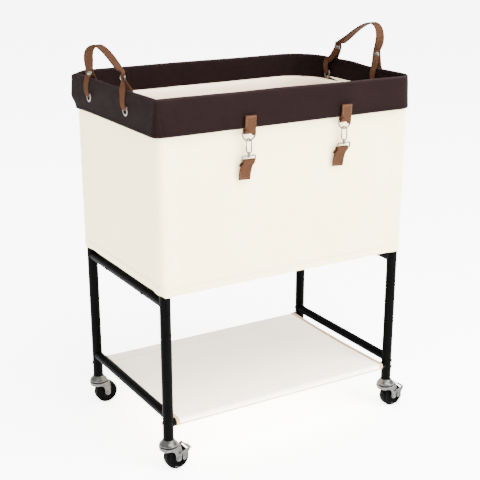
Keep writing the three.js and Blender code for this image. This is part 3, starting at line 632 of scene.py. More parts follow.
class Maker(Nodes):
    """A geometry node group with named inputs, run on a bare mesh of points and edges."""

    def __init__(self, name, **inputs):
        group = bpy.data.node_groups.new(name, "GeometryNodeTree")
        super().__init__(group)
        face = group.interface
        face.new_socket("Geometry", in_out="INPUT", socket_type="NodeSocketGeometry")
        self.keys = {}
        for label, kind in inputs.items():
            made = face.new_socket(label.replace("_", " "), in_out="INPUT", socket_type=kind)
            self.keys[label] = made.identifier
        face.new_socket("Geometry", in_out="OUTPUT", socket_type="NodeSocketGeometry")
        self.entry = group.nodes.new("NodeGroupInput")
        self.exit = group.nodes.new("NodeGroupOutput")

    def given(self, index):
        return Wire(self, self.entry.outputs[index])

    def close(self, geometry, material):
        whole = self.add("GeometryNodeRealizeInstances", {}, {0: geometry})
        smooth = self.add("GeometryNodeSetShadeSmooth", {}, {0: whole})
        last = self.add("GeometryNodeSetMaterial", {}, {0: smooth, 2: material})
        self.tree.links.new(last.socket, self.exit.inputs[0])

    def make(self, name, data, body, slot, material, **values):
        """Runs the group on a mesh in metres and gives the piece that comes out."""
        made = link(name, data)
        run = made.modifiers.new("make", "NODES")
        run.node_group = self.tree
        for label, value in values.items():
            run[self.keys[label]] = value
        run[self.keys["Material"]] = material
        baked(made)
        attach(made, body)
        return made


def tube_maker():
    """Round closed tubes along edges, each as thick as its points' radius."""
    m = Maker("tubes", Sides="NodeSocketInt", Material="NodeSocketMaterial")
    radius = m.add("GeometryNodeInputNamedAttribute", {"data_type": "FLOAT"}, {"Name": "thick"})
    curve = m.add("GeometryNodeMeshToCurve", {}, {0: m.given(0)})
    circle = {"Resolution": m.given(1), "Radius": 1.0}
    ring = m.add("GeometryNodeCurvePrimitiveCircle", {"mode": "RADIUS"}, circle)
    sweep = {"Curve": curve, "Profile Curve": ring, "Scale": radius, "Fill Caps": True}
    tube = m.add("GeometryNodeCurveToMesh", {}, sweep)
    m.close(tube, m.given(2))
    return m


def stitch_maker():
    """Stitches at an even pitch along edges, a little uneven in length."""
    numbers = {"Pitch": "NodeSocketFloat", "Length": "NodeSocketFloat"}
    numbers["Thickness"] = "NodeSocketFloat"
    m = Maker("stitches", **numbers, Material="NodeSocketMaterial")
    curve = m.add("GeometryNodeMeshToCurve", {}, {0: m.given(0)})
    spacing = {"Curve": curve, "Length": m.given(1)}
    spots = m.add("GeometryNodeCurveToPoints", {"mode": "LENGTH"}, spacing)
    turn = m.add("FunctionNodeAlignRotationToVector", {"axis": "X"}, {"Vector": spots.other(1)})
    spread = {2: 0.85, 3: 1.1, "Seed": 7}
    uneven = m.add("FunctionNodeRandomValue", {"data_type": "FLOAT"}, spread, out=1)
    size = m.add("ShaderNodeCombineXYZ", {}, {0: m.given(2) * uneven, 1: m.given(3), 2: m.given(3)})
    bead = m.add("GeometryNodeMeshUVSphere", {}, {"Segments": 8, "Rings": 6, "Radius": 0.5})
    placed = {"Points": spots, "Instance": bead, "Rotation": turn, "Scale": size}
    m.close(m.add("GeometryNodeInstanceOnPoints", {}, placed), m.given(4))
    return m


def dome_maker():
    """Domed heads on points, each facing its own way and with its own radius."""
    numbers = {"Segments": "NodeSocketInt", "Height": "NodeSocketFloat"}
    m = Maker("domes", **numbers, Material="NodeSocketMaterial")
    vectors = {"data_type": "FLOAT_VECTOR"}
    facing = m.add("GeometryNodeInputNamedAttribute", vectors, {"Name": "facing"})
    radius = m.add("GeometryNodeInputNamedAttribute", {"data_type": "FLOAT"}, {"Name": "thick"})
    turn = m.add("FunctionNodeAlignRotationToVector", {"axis": "Z"}, {"Vector": facing})
    size = m.add("ShaderNodeCombineXYZ", {}, {0: radius, 1: radius, 2: radius * m.given(2)})
    ball = m.add("GeometryNodeMeshUVSphere", {}, {"Segments": m.given(1), "Rings": 12, "Radius": 1.0})
    placed = {"Points": m.given(0), "Instance": ball, "Rotation": turn, "Scale": size}
    m.close(m.add("GeometryNodeInstanceOnPoints", {}, placed), m.given(3))
    return m


def bare(name, points, edges=(), thick=None, facing=None):
    """A mesh of points and edges only, for a maker to work on."""
    data = bpy.data.meshes.new(name)
    data.from_pydata([at(*p) for p in points], [tuple(e) for e in edges], [])
    if thick is not None:
        values = [t * MM for t in thick]
        data.attributes.new("thick", "FLOAT", "POINT").data.foreach_set("value", values)
    if facing is not None:
        flat = [part for way in facing for part in way]
        data.attributes.new("facing", "FLOAT_VECTOR", "POINT").data.foreach_set("vector", flat)
    return data


def rows_of(lines):
    """Lines of points as one bare mesh's points and edges."""
    points, edges = [], []
    for line in lines:
        start = len(points)
        points += line
        edges += [(start + k, start + k + 1) for k in range(len(line) - 1)]
    return points, edges


TUBES, STITCHES, DOMES = tube_maker(), stitch_maker(), dome_maker()


def heads(name, spots, body, slot, material, segments, height):
    """Domed heads from (place, way it faces, radius)."""
    places, ways, radii = zip(*spots)
    data = bare("heads", places, (), radii, ways)
    return DOMES.make(name, data, body, slot, material, Segments=segments, Height=height)


def sewn(name, lines, slot, thread, pitch, length, thickness):
    """Rows of stitches, with their sizes in millimetres."""
    sizes = {"Pitch": pitch * MM, "Length": length * MM, "Thickness": thickness * MM}
    return STITCHES.make(name, bare("seams", *rows_of(lines)), ROOT, slot, thread, **sizes)


# ---- Frame -------------------------------------------------------------------------------


def frame_tubes():
    points, edges, thick, nodes = [], [], [], []

    def tube(a, b, radius):
        edges.append((len(points), len(points) + 1))
        points.extend((a, b))
        thick.extend((radius, radius))

    for corner, (sx, sy) in CORNER_SIGNS.items():
        tube((sx * HX, sy * HY, POST_FOOT), (sx * HX, sy * HY, POST_TOP), TUBE)
        nodes.append(f"post_{corner}")
    for level in ("base", "shelf"):
        z = height_of(f"{level}_rail_left")
        for side, sx in (("left", -1), ("right", 1)):
            tube((sx * HX, -HY, z), (sx * HX, HY, z), SIDE_RAIL_R)
            nodes.append(f"{level}_rail_{side}")
        z = height_of(f"{level}_rail_front")
        for side, sy in (("front", -1), ("rear", 1)):
            tube((-HX, sy * HY, z), (HX, sy * HY, z), LONG_RAIL_R)
            nodes.append(f"{level}_rail_{side}")
            for sx in (-1, 1):
                tube((sx * HX, sy * HY, z), (sx * (HX - BOSS_REACH), sy * HY, z), BOSS_R)
    data = bare("posts_and_rails", points, edges, thick)
    made = TUBES.make("posts_and_rails", data, ROOT, "black_coat", COAT, Sides=56)
    crisp(made, 50)
    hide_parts(*nodes)
    return made


def frame_welds():
    """A thin bead of weld where each side rail meets its post."""
    beads = []
    for level in ("base", "shelf"):
        z = height_of(f"{level}_rail_left")
        for sx, sy in CORNER_SIGNS.values():
            line = []
            for k in range(40):
                angle = 2 * math.pi * k / 40
                across = SIDE_RAIL_R * math.cos(angle)
                reach = math.sqrt(TUBE**2 - across**2)
                rough = 0.3 * noise.noise(Vector((k * 0.9, sx * 3.0, sy * 5.0 + z)))
                y = sy * (HY - reach - 0.4 + rough)
                line.append((sx * HX + across, y, z + SIDE_RAIL_R * math.sin(angle)))
            beads.append(wire(line, 1.1, closed=True, sides=8))
    return piece("weld_beads", merge(*beads), COAT, ROOT, "black_coat")


# Bolt heads at a post's foot: which way they face in degrees, and their heights.
FOOT_BOLTS = (
    ("front_left", 154, (103,)),
    ("rear_left", 154, (99,)),
    ("rear_right", 148, (102, 121)),
    ("front_right", -39, (97, 112)),
)
RAIL_SCREW_Y = (-87.4, 80.7)
SPRING_BUTTONS = (("front_left", 333), ("front_right", 328), ("rear_left", 333), ("rear_right", 328))
BOLT_R, SCREW_R, BUTTON_R = 3.6, 3.4, 3.2


def frame_fittings():
    """Bolt heads at the posts' feet, screws under the side rails, and the posts' buttons."""
    bolts = []
    for corner, degrees, heights in FOOT_BOLTS:
        sx, sy = CORNER_SIGNS[corner]
        way = Vector((math.cos(math.radians(degrees)), math.sin(math.radians(degrees)), 0))
        bolts += [(Vector((sx * HX, sy * HY, z)) + way * (TUBE - 0.2), way, BOLT_R) for z in heights]
    for sx in (-1, 1):
        for y in RAIL_SCREW_Y:
            way = Vector((sx, 0, -0.45)).normalized()
            spot = Vector((sx * HX, y, height_of("base_rail_left"))) + way * (SIDE_RAIL_R - 0.2)
            bolts.append((spot, way, SCREW_R))
    heads("bolt_heads", bolts, ROOT, "black_coat", COAT, 24, 0.6)
    buttons = []
    for corner, z in SPRING_BUTTONS:
        sx, sy = CORNER_SIGNS[corner]
        way = Vector((0.06 * sx, sy, 0)).normalized()
        buttons.append((Vector((sx * HX, sy * HY, z)) + way * (TUBE - 0.3), way, BUTTON_R))
    heads("spring_buttons", buttons, ROOT, "black_coat", COAT, 24, 0.75)


frame_piece = frame_tubes()
frame_welds()
frame_fittings()
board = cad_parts["base_board"]
board.data.materials.clear()
board.data.materials.append(BOARD)


# ---- Bag ---------------------------------------------------------------------------------

LONG_STEPS, SHORT_STEPS, CORNER_STEPS = 72, 48, 12


def along_side(count):
    """Places of a side's inner points, closer together near the posts."""
    spots = [k / count for k in range(1, count)]
    return [0.45 * t + 0.55 * (1 - math.cos(math.pi * t)) / 2 for t in spots]


def ring(offset, radii):
    """Points (x, y) round the bag with their outward ways, that far outside the post centres."""
    arcs = []
    for k, corner in enumerate(CORNERS):
        sx, sy = CORNER_SIGNS[corner]
        r = radii[k]
        cx, cy = sx * (HX + offset - r), sy * (HY + offset - r)
        arc = []
        for step in range(CORNER_STEPS + 1):
            angle = math.radians((180, 270, 0, 90)[k] + 90 * step / CORNER_STEPS)
            nx, ny = math.cos(angle), math.sin(angle)
            arc.append((cx + r * nx, cy + r * ny, nx, ny))
        arcs.append(arc)
    spots = []
    for k, arc in enumerate(arcs):
        spots += arc
        (ax, ay, nx, ny), (bx, by, _, _) = arc[-1], arcs[(k + 1) % 4][0]
        for t in along_side(SHORT_STEPS if k % 2 else LONG_STEPS):
            spots.append((ax + (bx - ax) * t, ay + (by - ay) * t, nx, ny))
    spots.append(arcs[0][0])
    return spots


GIRTH = [0.0]
for (ax, ay, _, _), (bx, by, _, _) in zip(ring(13, [13] * 4), ring(13, [13] * 4)[1:]):
    GIRTH.append(GIRTH[-1] + math.hypot(bx - ax, by - ay))


def from_post(x, y, nx, ny):
    """How far along its side a point is from the nearer post."""
    return max(0.0, HX - abs(x)) if abs(ny) > abs(nx) else max(0.0, HY - abs(y))


def loft(rows, shape):
    """A skin through rows of (height, offset, radii). shape moves a point out and up."""
    points, cut, travelled = [], [], 0.0
    for k, (z, offset, radii) in enumerate(rows):
        if k:
            travelled += math.hypot(z - rows[k - 1][0], offset - rows[k - 1][1])
        for column, (x, y, nx, ny) in enumerate(ring(offset, radii)):
            out, up = shape(x, y, z, nx, ny)
            points.append(Vector((x + nx * out, y + ny * out, z + up)))
            cut.append((GIRTH[column], travelled))
    return (points, grid_faces(len(rows), len(GIRTH))), cut


def soft(x, y, z, size, seed):
    """Smooth noise from -1 to 1 whose lumps are about that many millimetres across."""
    return noise.noise(Vector((x / size + seed, y / size - seed, z / size)))


# Leather collar: up the outside, over the rim and down the inner band, as (height, offset).

WALL_MID = HX + 16.1
SEAM_DEPTH = 2.0
EYELET_Z = height_of("eyelet_left_rear")
EYELET_Y = [(middle(f"eyelet_left_{end}").y - MID_Y) / MM for end in ("front", "rear")]
OUTER = [(680.0, 22.8), (682.5, 23.0), (686.0, 22.7), (691.0, 22.4), (697.0, 22.0), (704.0, 21.4)]
OUTER += [(711.0, 20.9), (718.0, 20.4), (725.0, 20.0), (731.0, 19.6), (736.0, 19.3), (740.0, 19.0)]
RIM_CENTRE, RIM_R = (742.9, 15.7), 3.1
OVER = [
    (RIM_CENTRE[0] + RIM_R * math.sin(a), RIM_CENTRE[1] + RIM_R * math.cos(a))
    for a in (math.pi * k / 8 for k in range(9))
]
INNER = [(739.5, 12.5), (735.0, 12.3), (729.0, 12.1), (722.0, 11.8), (715.0, 11.5), (708.0, 11.2)]
INNER += [(702.0, 10.8), (699.6, 10.6), (699.0, 10.9)]


def collar_radii(z, offset):
    """Corner radii: the front left is tighter at the rim and the rear right opens out there."""
    high = 1.0 if offset < RIM_CENTRE[1] - 1 else ease(697, 746, z)
    outer = (
        16.0 - 6.0 * ease(684, 738, z),
        37.0,
        40.0 + 46.0 * high,
        36.0 - 18.0 * ease(682, 702, z),
    )
    return [max(1.5, r - (22.8 - offset)) for r in outer]


def seam_columns():
    """Ring columns of the two upright seams, at the front left and the rear right."""
    return (CORNER_STEPS, 2 * (CORNER_STEPS + 1) + LONG_STEPS + SHORT_STEPS - 2 + CORNER_STEPS // 2)


def collar_shape(x, y, z, nx, ny):
    high = ease(690, 746, z)
    out = 1.5 * soft(x, y, z * 0.6, 95, 3.1) * (0.35 + high)
    out += 0.5 * soft(x, y, z, 31, 8.4)
    if nx > 0.6:
        out += 14.0 * high * math.exp(-(((y - 30) / 52) ** 2)) * nx
    if nx < -0.6:
        out += 1.5 * high * math.exp(-(((y + 10) / 90) ** 2))
    if abs(ny) > 0.6:
        out -= 1.2 * high * math.exp(-((x / 190) ** 2))
    corner = math.exp(-((math.hypot(x + HX + 15, y - HY - 15) / 60) ** 2))
    out += 5.0 * ease(684, 704, z) * corner
    up = 0.7 * soft(x, y, 0, 130, 5.5) * high
    back = ease(-HY, HY, y) * ease(HX, -HX * 0.6, x)
    up += high * (4.0 * max(back, 0.75 * ease(HX, -HX, x)) + 3.0 * ease(0, HY, y) * ease(-HX, HX, x))
    up -= 6.5 * high * math.exp(-((math.hypot(x + HX + 16, y - HY - 16) / 17) ** 2))
    up -= 3.0 * corner * ease(700, 684, z)
    return out, up


def collar_spot(x, y, z, nx, ny, lift):
    out, up = collar_shape(x, y, z, nx, ny)
    return Vector((x + nx * (out + lift), y + ny * (out + lift), z + up))


def leather_collar():
    rows = [(z, offset, collar_radii(z, offset)) for z, offset in OUTER + OVER + INNER]
    shape, cut = loft(rows, collar_shape)
    for row in range(len(rows)):
        for column in seam_columns():
            spot = shape[0][row * len(GIRTH) + column]
            spot -= Vector((spot.x, spot.y, 0)).normalized() * SEAM_DEPTH
    # Edge mark: the band along the rim's fold paints a highlight there in the lighter edge colour; the
    # thin band at the skirt's foot is wear.
    edge = []
    for z, offset, _ in rows:
        edge_wear_and_highlight = 0.75 * math.exp(-(((z - 746) / 2.2) ** 2)) if z > 740 else 0.0
        edge += [edge_wear_and_highlight + 0.5 * math.exp(-(((z - 680) / 1.5) ** 2))] * len(GIRTH)
    made = piece("leather_collar", shape, DARK_HIDE, ROOT, "dark_leather", cut, edge)
    thicken(made, 1.6)
    for sx in (-1, 1):
        for y in EYELET_Y:
            pierce(made, (sx * WALL_MID, y, EYELET_Z), 7.0)
    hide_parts("leather_collar")
    return made


def pierce(made, centre, radius):
    """Cuts a round hole through a wall, along X."""
    profile = [(0, -15), (radius, -15), (radius, 15), (0, 15)]
    drill = piece("drill", turned(profile, centre, "x", 32), DARK_HIDE, None, "dark_leather")
    hole = made.modifiers.new("hole", "BOOLEAN")
    hole.operation = "DIFFERENCE"
    hole.solver = "EXACT"
    hole.object = drill
    baked(made)
    bpy.data.objects.remove(drill)


collar = leather_collar()


# Canvas cover: round the posts, slack between them, with a turned hem.

FRONT_HEM_Z, SIDE_HEM_Z = 371.8, 376.1
COVER_OUT = 13.3

def hem_height(nx):
    return FRONT_HEM_Z + (SIDE_HEM_Z - FRONT_HEM_Z) * ease(0.3, 0.8, abs(nx))


def cover_shape(x, y, z, nx, ny):
    away = from_post(x, y, nx, ny)
    share = (z - FRONT_HEM_Z) / (COVER_TOP - FRONT_HEM_Z)
    out = -3.6 * ease(4, 34, away)
    ripple = math.exp(-(((away - 46) / 20) ** 2)) + 0.6 * math.exp(-(((away - 92) / 26) ** 2))
    out += 0.55 * ripple * soft(x, y, z * 0.16, 40, 1.7)
    out += 1.5 * soft(x, y, z * 0.5, 150, 6.2) * ease(20, 80, away)
    out += 0.35 * soft(x, y, z, 46, 2.9) * ease(6, 30, away)
    out += 0.5 * ease(19.0, 17.0, z - FRONT_HEM_Z) - 0.5 * ease(2.0, 0.0, z - FRONT_HEM_Z)
    up = (hem_height(nx) - FRONT_HEM_Z) * (1 - share)
    return out, up


def cover_rows():
    low, high = FRONT_HEM_Z, COVER_TOP
    heights = [low, low + 0.6, low + 2, low + 6, low + 12, low + 16.6, low + 17.4, low + 18.2]
    heights += [low + 19.2, low + 24]
    heights += [low + 24 + (high - low - 24) * k / 44 for k in range(1, 45)]
    return heights


def canvas_cover():
    rows = [(z, COVER_OUT, [COVER_OUT] * 4) for z in cover_rows()]
    shape, cut = loft(rows, cover_shape)
    made = piece("canvas_cover", shape, CANVAS, ROOT, "canvas", cut)
    thicken(made, 1.3)
    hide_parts("canvas_cover")
    return made


canvas_cover()


# Lining: hangs inside the posts and lies on the base board.

LINING_R = 62.0

def lining_shape(x, y, z, nx, ny):
    share = ease(398, 430, z) * ease(699, 670, z)
    out = share * (2.4 * soft(x, y, z * 0.35, 75, 4.4) + 0.9 * soft(x, y, z, 30, 7.7))
    flat = ease(404, 397, z)
    up = flat * max(0.0, 1.2 * soft(x, y, 0, 60, 9.1) + 0.5)
    return out, up


def lining():
    def between(share):
        return [LINING_R + (r - LINING_R) * share for r in collar_radii(699, 11.5)]

    rows = [(706, 13.0, between(1)), (700.5, 12.8, between(1)), (698, 12.2, between(0.97))]
    rows += [(696.5, 10.5, between(0.7)), (695.4, 8.5, between(0.35)), (693, 7.0, between(0.1))]
    heights = [689, 683, 676] + [676 - (676 - 420) * k / 34 for k in range(1, 35)]
    rows += [(z, 5.5, [LINING_R] * 4) for z in heights]
    for k in range(1, 9):
        angle = math.pi / 2 * k / 8
        turn = (414 - 17 * math.sin(angle), 5.5 - 17 * (1 - math.cos(angle)))
        rows.append((*turn, [LINING_R - k] * 4))
    for k in range(1, 15):
        offset = -11.5 - (HY - 11.6) * k / 14
        rows.append((397, offset, [max(0.05, min(54.0, HY + offset - 0.01))] * 4))
    shape, cut = loft(rows, lining_shape)
    made = piece("bag_lining", shape, LINING, ROOT, "lining", cut)
    thicken(made, 0.9)
    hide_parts("bag_liner")
    return made


lining()


# Shelf sling: wrapped round both long rails, stitched below, bound at its two free ends.

SLING_HALF = 257.5
SLEEVE_R = 6.5
SLING_SEAM = 31.0  # from the rail to the sleeve's stitches
SLING_SAG = 3.0


def sling_sag(y):
    return SLING_SAG * (1 - (y / (HY - 4)) ** 2)


def sling_wave(x, y):
    return (1 - (y / HY) ** 2) * (1.1 * soft(x, y, 0, 90, 2.2) + 0.4 * soft(x, y, 0, 34, 5.1))


def sling_line():
    """Section of the sling as (y, height): under, round and over both rails."""
    z, r = height_of("shelf_rail_front"), SLEEVE_R
    tail = [(HY - SLING_SEAM, z + r - 3.6), (HY - 20, z + 1.0), (HY - 10, z - 4.3)]
    line = [(-y, height) for y, height in tail]
    line += [(-HY + r * math.sin(a), z - r * math.cos(a)) for a in arc(5, -160, 12)]
    for k in range(41):
        y = -HY + 4 + (2 * HY - 8) * k / 40
        line.append((y, z + r - sling_sag(y)))
    line += [(HY + r * math.sin(a), z - r * math.cos(a)) for a in arc(160, -5, 12)]
    return line + tail[::-1]


def shelf_sling():
    line = sling_line()
    travelled, lengths = 0.0, []
    for k, spot in enumerate(line):
        travelled += math.dist(spot, line[max(k - 1, 0)])
        lengths.append(travelled)
    columns = 76
    points, cut = [], []
    for (y, z), v in zip(line, lengths):
        for k in range(columns + 1):
            x = -SLING_HALF + 2 * SLING_HALF * k / columns
            points.append(Vector((x, y, z + sling_wave(x, y))))
            cut.append((x, v))
    shape = (points, grid_faces(len(line), columns + 1))
    made = piece("shelf_sling", shape, SLING, ROOT, "sling_cloth", cut)
    thicken(made, 0.9)
    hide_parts("shelf_sling")
    tapes = [binding(f"sling_binding_{side}", sx) for side, sx in (("left", -1), ("right", 1))]
    tapes.append(piping())
    return made


def piping():
    """A cord along the low outer edge of each sleeve."""
    z, ends = height_of("shelf_rail_front") - 6.1, (-SLING_HALF, 0, SLING_HALF)
    cords = [wire([(x, sy * (HY + 3.8), z) for x in ends], 1.3, sides=10) for sy in (-1, 1)]
    return piece("sling_piping", merge(*cords), TAPE, ROOT, "tan_leather")


def binding(name, sx):
    x = sx * (SLING_HALF - 3.4)
    controls = [Vector((x, y, z, 8.4, 0.0)) for y, z in sling_line()]
    shape, cut, _ = strap(controls, 2.7, 1)
    return piece(name, shape, TAPE, ROOT, "tan_leather", cut)


shelf_sling()


# ---- Seams -------------------------------------------------------------------------------


def collar_seams():
    z, offset = 684.5, 22.9
    spots = ring(offset, collar_radii(z, offset))
    line = [collar_spot(x, y, z, nx, ny, 0.35) for x, y, nx, ny in spots]
    sewn("collar_stitches", [line], "dark_leather", DARK_THREAD, 4.2, 3.1, 0.9)


def cloth_seams():
    lines = []
    for z in (FRONT_HEM_Z + 14.2, FRONT_HEM_Z + 16.4):
        line = []
        for x, y, nx, ny in ring(COVER_OUT, [COVER_OUT] * 4):
            out, up = cover_shape(x, y, z, nx, ny)
            line.append(Vector((x + nx * (out + 0.15), y + ny * (out + 0.15), z + up)))
        lines.append(line)
    for sy in (-1, 1):
        for shift in (0, 2.6):
            y = sy * (HY - SLING_SEAM + shift)
            low = height_of("shelf_rail_front") + SLEEVE_R - sling_sag(y) + 0.1
            places = [2 - SLING_HALF + (2 * SLING_HALF - 4) * k / 39 for k in range(40)]
            lines.append([Vector((x, y, low + sling_wave(x, y))) for x in places])
    sewn("cloth_stitches", lines, "canvas", CREAM_THREAD, 3.8, 2.9, 0.7)


collar_seams()
cloth_seams()


# ---- Casters -----------------------------------------------------------------------------

AXLE = (16.0, 0.0, 25.0)
AXLE_X, AXLE_Z = AXLE[0], AXLE[2]


def swept_arc(profile, start, stop, steps):
    """A closed profile of (radius, height) swept part of the way round the Z axis."""
    points = []
    for angle in arc(start, stop, steps):
        for radius, height in profile:
            points.append(Vector((radius * math.cos(angle), radius * math.sin(angle), height)))
    count = len(profile)
    faces = grid_faces(steps + 1, count, wrap_columns=True)
    faces.append(tuple(reversed(range(count))))
    faces.append(tuple(range(steps * count, (steps + 1) * count)))
    return points, faces


def plate_outline():
    """Side plate as (x, height), drawn once round."""
    front = [(-14.8, 53.6), (-15.4, 50), (-14.6, 46.2), (-9, 45.4), (-2, 44.9), (3, 43.2)]
    front += [(6.6, 39.8), (8.8, 34.5), (9.7, 29)]
    eye = bow(AXLE_X, AXLE_Z, 6.3, 180, 352, 12)
    back = [(22.6, 30), (22.5, 37), (22.0, 44), (21.4, 49.5), (20.6, 52.4), (18.6, 53.9), (10, 54.0)]
    back += [(0, 54.0), (-10, 54.0)]
    return front + eye + back


def fork(tag, place):
    crown = [(0, 51.7), (15.5, 51.7), (18.6, 51.2), (19.7, 51.7), (20.2, 52.6), (19.8, 53.6)]
    crown += [(18.4, 54.2), (15, 54.3), (0, 54.3)]
    skirt = [(19.4, 53.4), (19.5, 49), (19.1, 46), (18.4, 45.4), (17.6, 46), (17.5, 53.4)]
    web = [(-2, -14.2), (19.6, -14.2), (21.0, -12.6), (21.4, 0), (21.0, 12.6), (19.6, 14.2), (-2, 14.2)]
    parts = [
        turned(crown),
        swept_arc(skirt, 130, 230, 26),
        slab(web, 51.9, 54.1, 0.5, "z"),
        slab(plate_outline(), -14.2, -12.2, 0.45),
        slab(plate_outline(), 12.2, 14.2, 0.45),
    ]
    where = (ZINC, f"swivel_{tag}", "zinc")
    stand_in(f"caster_{tag}_fork", merge(*parts), *where, sharp=40, place=place)
    half = [(0, 16.4), (2.2, 16.25), (3.8, 15.7), (4.6, 14.8), (4.5, 14.25), (3.0, 14.2)]
    stand_in(f"caster_{tag}_axle", turned(mirrored(half), AXLE, "y"), *where, place=place)
    dimples = [
        (place.translation + Vector((x, sy * 14.1, z)), (0, sy, 0), radius)
        for sy in (-1, 1)
        for x, z, radius in ((17.4, 44.5, 1.5), (18.6, 38.6, 1.5), (16.6, 34.8, 1.2))
    ]
    heads(f"caster_{tag}_dimples", dimples, where[1], "zinc", ZINC, 20, 0.5)


def stem(tag, place):
    profile = [(0, 54.7), (14.5, 54.7), (17.6, 55.0), (19.2, 56.0), (19.5, 57.2), (19.0, 58.6)]
    profile += [(17.6, 60.4), (15.4, 62.6), (13.6, 64.6), (12.5, 66.2), (12.1, 67.4), (11.4, 67.8)]
    profile += [(0, 67.8)]
    shape = turned(profile, sides=64)
    stand_in(f"caster_{tag}_stem", shape, ZINC, ROOT, "zinc", place=place)


def wheel(tag, place):
    half = [(3.4, 9.4), (5.6, 9.7), (7.4, 9.5), (8.2, 8.6), (8.8, 7.6), (12, 7.3), (15.6, 7.3)]
    half += [(17.0, 7.8), (17.9, 9.2), (18.8, 10.1), (20.2, 10.5), (21.6, 10.4), (23.0, 9.8)]
    half += [(24.1, 8.7), (24.8, 7.2), (25.0, 5.4), (25.0, 2.0)]
    shape = turned(mirrored(half), AXLE, "y", 72, closed=True)
    where = (RUBBER, f"wheel_{tag}", "wheel_rubber")
    stand_in(f"caster_{tag}_wheel", shape, *where, place=place)


def brake(tag, place):
    ear = [(22.9, 37), (23.4, 30), (24.4, 22), (26.6, 19.8), (29.4, 21), (32.4, 28), (36, 35.4)]
    ear += [(39.4, 41.8), (38.4, 45.4), (35.4, 46.2), (31, 44.4), (25, 41.4), (19.5, 40.4)]
    ear += [(17, 39.5), (16.1, 37), (17.1, 34.6), (19.5, 33.6), (22, 34.6)]
    cross = [(35.0, 44.3), (39.8, 41.7), (40.4, 43.3), (35.6, 45.9)]
    tongue = [(0, -9.5), (10, -9.5), (12.6, -8.4), (13.6, -5.5), (14, 0), (13.6, 5.5), (12.6, 8.4)]
    tongue += [(10, 9.5), (0, 9.5)]
    slope = Matrix.Translation((35.7, 0, 44.0)) @ Matrix.Rotation(math.atan(0.52), 4, "Y")

    def sloped(shape):
        points, faces = shape
        return [slope @ Vector(p) for p in points], faces

    rows = (4.2, 7.4, 10.6)
    ridges = [wire([(x, -6.2, 1.7), (x, 0, 1.8), (x, 6.2, 1.7)], 0.75, sides=8) for x in rows]
    lip = wire([(13.4, -6.5, 0.4), (13.8, 0, 0.4), (13.4, 6.5, 0.4)], 1.15, sides=10)
    around = [(19.5, 38.4)] + bow(AXLE_X, AXLE_Z, 16.5, 20, -130, 14)
    bail = [(x, -17.3, z) for x, z in around]
    pin = [(0, -17.4), (1.6, -17.2), (2.2, -16.2), (2.2, 16.2), (1.6, 17.2), (0, 17.4)]
    parts = [
        slab(ear, -16.3, -14.7, 0.35),
        slab(ear, 14.7, 16.3, 0.35),
        slab(cross, -16.3, 16.3, 0.3),
        sloped(slab(tongue, 0.0, 1.7, 0.4, "z")),
        *[sloped(ridge) for ridge in ridges],
        sloped(lip),
        turned(pin, (19.5, 0, 37), "y", 20),
        wire(bail, 0.6, sides=8),
    ]
    where = (ZINC, f"brake_{tag}", "zinc")
    stand_in(f"caster_{tag}_brake", merge(*parts), *where, sharp=38, place=place)


for tag in ("front_left", "front_right", "rear_left", "rear_right"):
    sx, sy = CORNER_SIGNS[tag]
    corner_place = Matrix.Translation((sx * HX, sy * HY, 0))
    stem(tag, corner_place)
    fork(tag, corner_place)
    wheel(tag, corner_place)
    if sy < 0:
        brake(tag, corner_place)


# ---- Handles -----------------------------------------------------------------------------


def eyelets():
    """Rolled rings either side of the wall, with the barrel between them."""
    for side, sx in (("left", -1), ("right", 1)):
        for end, y in zip(("front", "rear"), EYELET_Y):
            half = [(6.3, 0), (6.3, 5.0), (6.7, 6.2), (7.8, 6.9), (9.2, 6.7), (10.5, 5.9), (11, 5.2)]
            half += [(10.2, 5.0), (7.2, 4.8), (7.2, 0)]
            profile = half + [(r, -h) for r, h in reversed(half[1:-1])]
            shape = turned(profile, (sx * WALL_MID, y, EYELET_Z), "x", 40, closed=True)
            stand_in(f"eyelet_{side}_{end}", shape, NICKEL, ROOT, "nickel")


STRAP_W, STRAP_T = 18.5, 2.6
STRAP_MID = HX + 15.9  # middle of the collar's wall, where the arch stands
HINGE_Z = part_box("handle_left_arch")[0].z / MM - 0.8
BEND_BELOW, BEND_ABOVE = 5, 7  # of the hinge line, over which a strap bends
MID_BEND_Y = 13
RIVET_R, RIVET_OUT = 5.0, 3.2


def leg(sx, end, loop_y):
    """One end of a handle, from over the rivet down inside, through the eyelet and up outside.

    end is (y, height and angle of the strap at its rivet, angle of the strap in its loop).
    """
    y, rivet, angle, turn = end
    x = sx * STRAP_MID
    half = (y + loop_y) / 2
    # (outward, y, height, width, angle)
    controls = [
        (-1.9, y, rivet + 8, 13.5, angle),
        (-2.0, y, rivet, 13.5, angle),
        (-6.0, half, 750, 13.0, turn),
        (-9.4, loop_y, 739, 12.4, turn),
        (-10.4, loop_y, 727, 11.6, turn),
        (-8.4, loop_y, 716, 10.8, turn),
        (-3.8, loop_y, 711.4, 10.4, turn),
        (3.8, loop_y, 711.4, 10.4, turn),
        (8.6, loop_y, 716, 10.8, turn),
        (10.8, loop_y, 727, 11.6, turn),
        (10.0, loop_y, 739, 12.4, turn),
        (6.2, half, 750, 13.0, turn),
        (1.6, y, rivet, 14.0, angle),
        (0.6, y, rivet + 9, 15.5, angle),
    ]
    return [(x + sx * out, *rest) for out, *rest in controls]


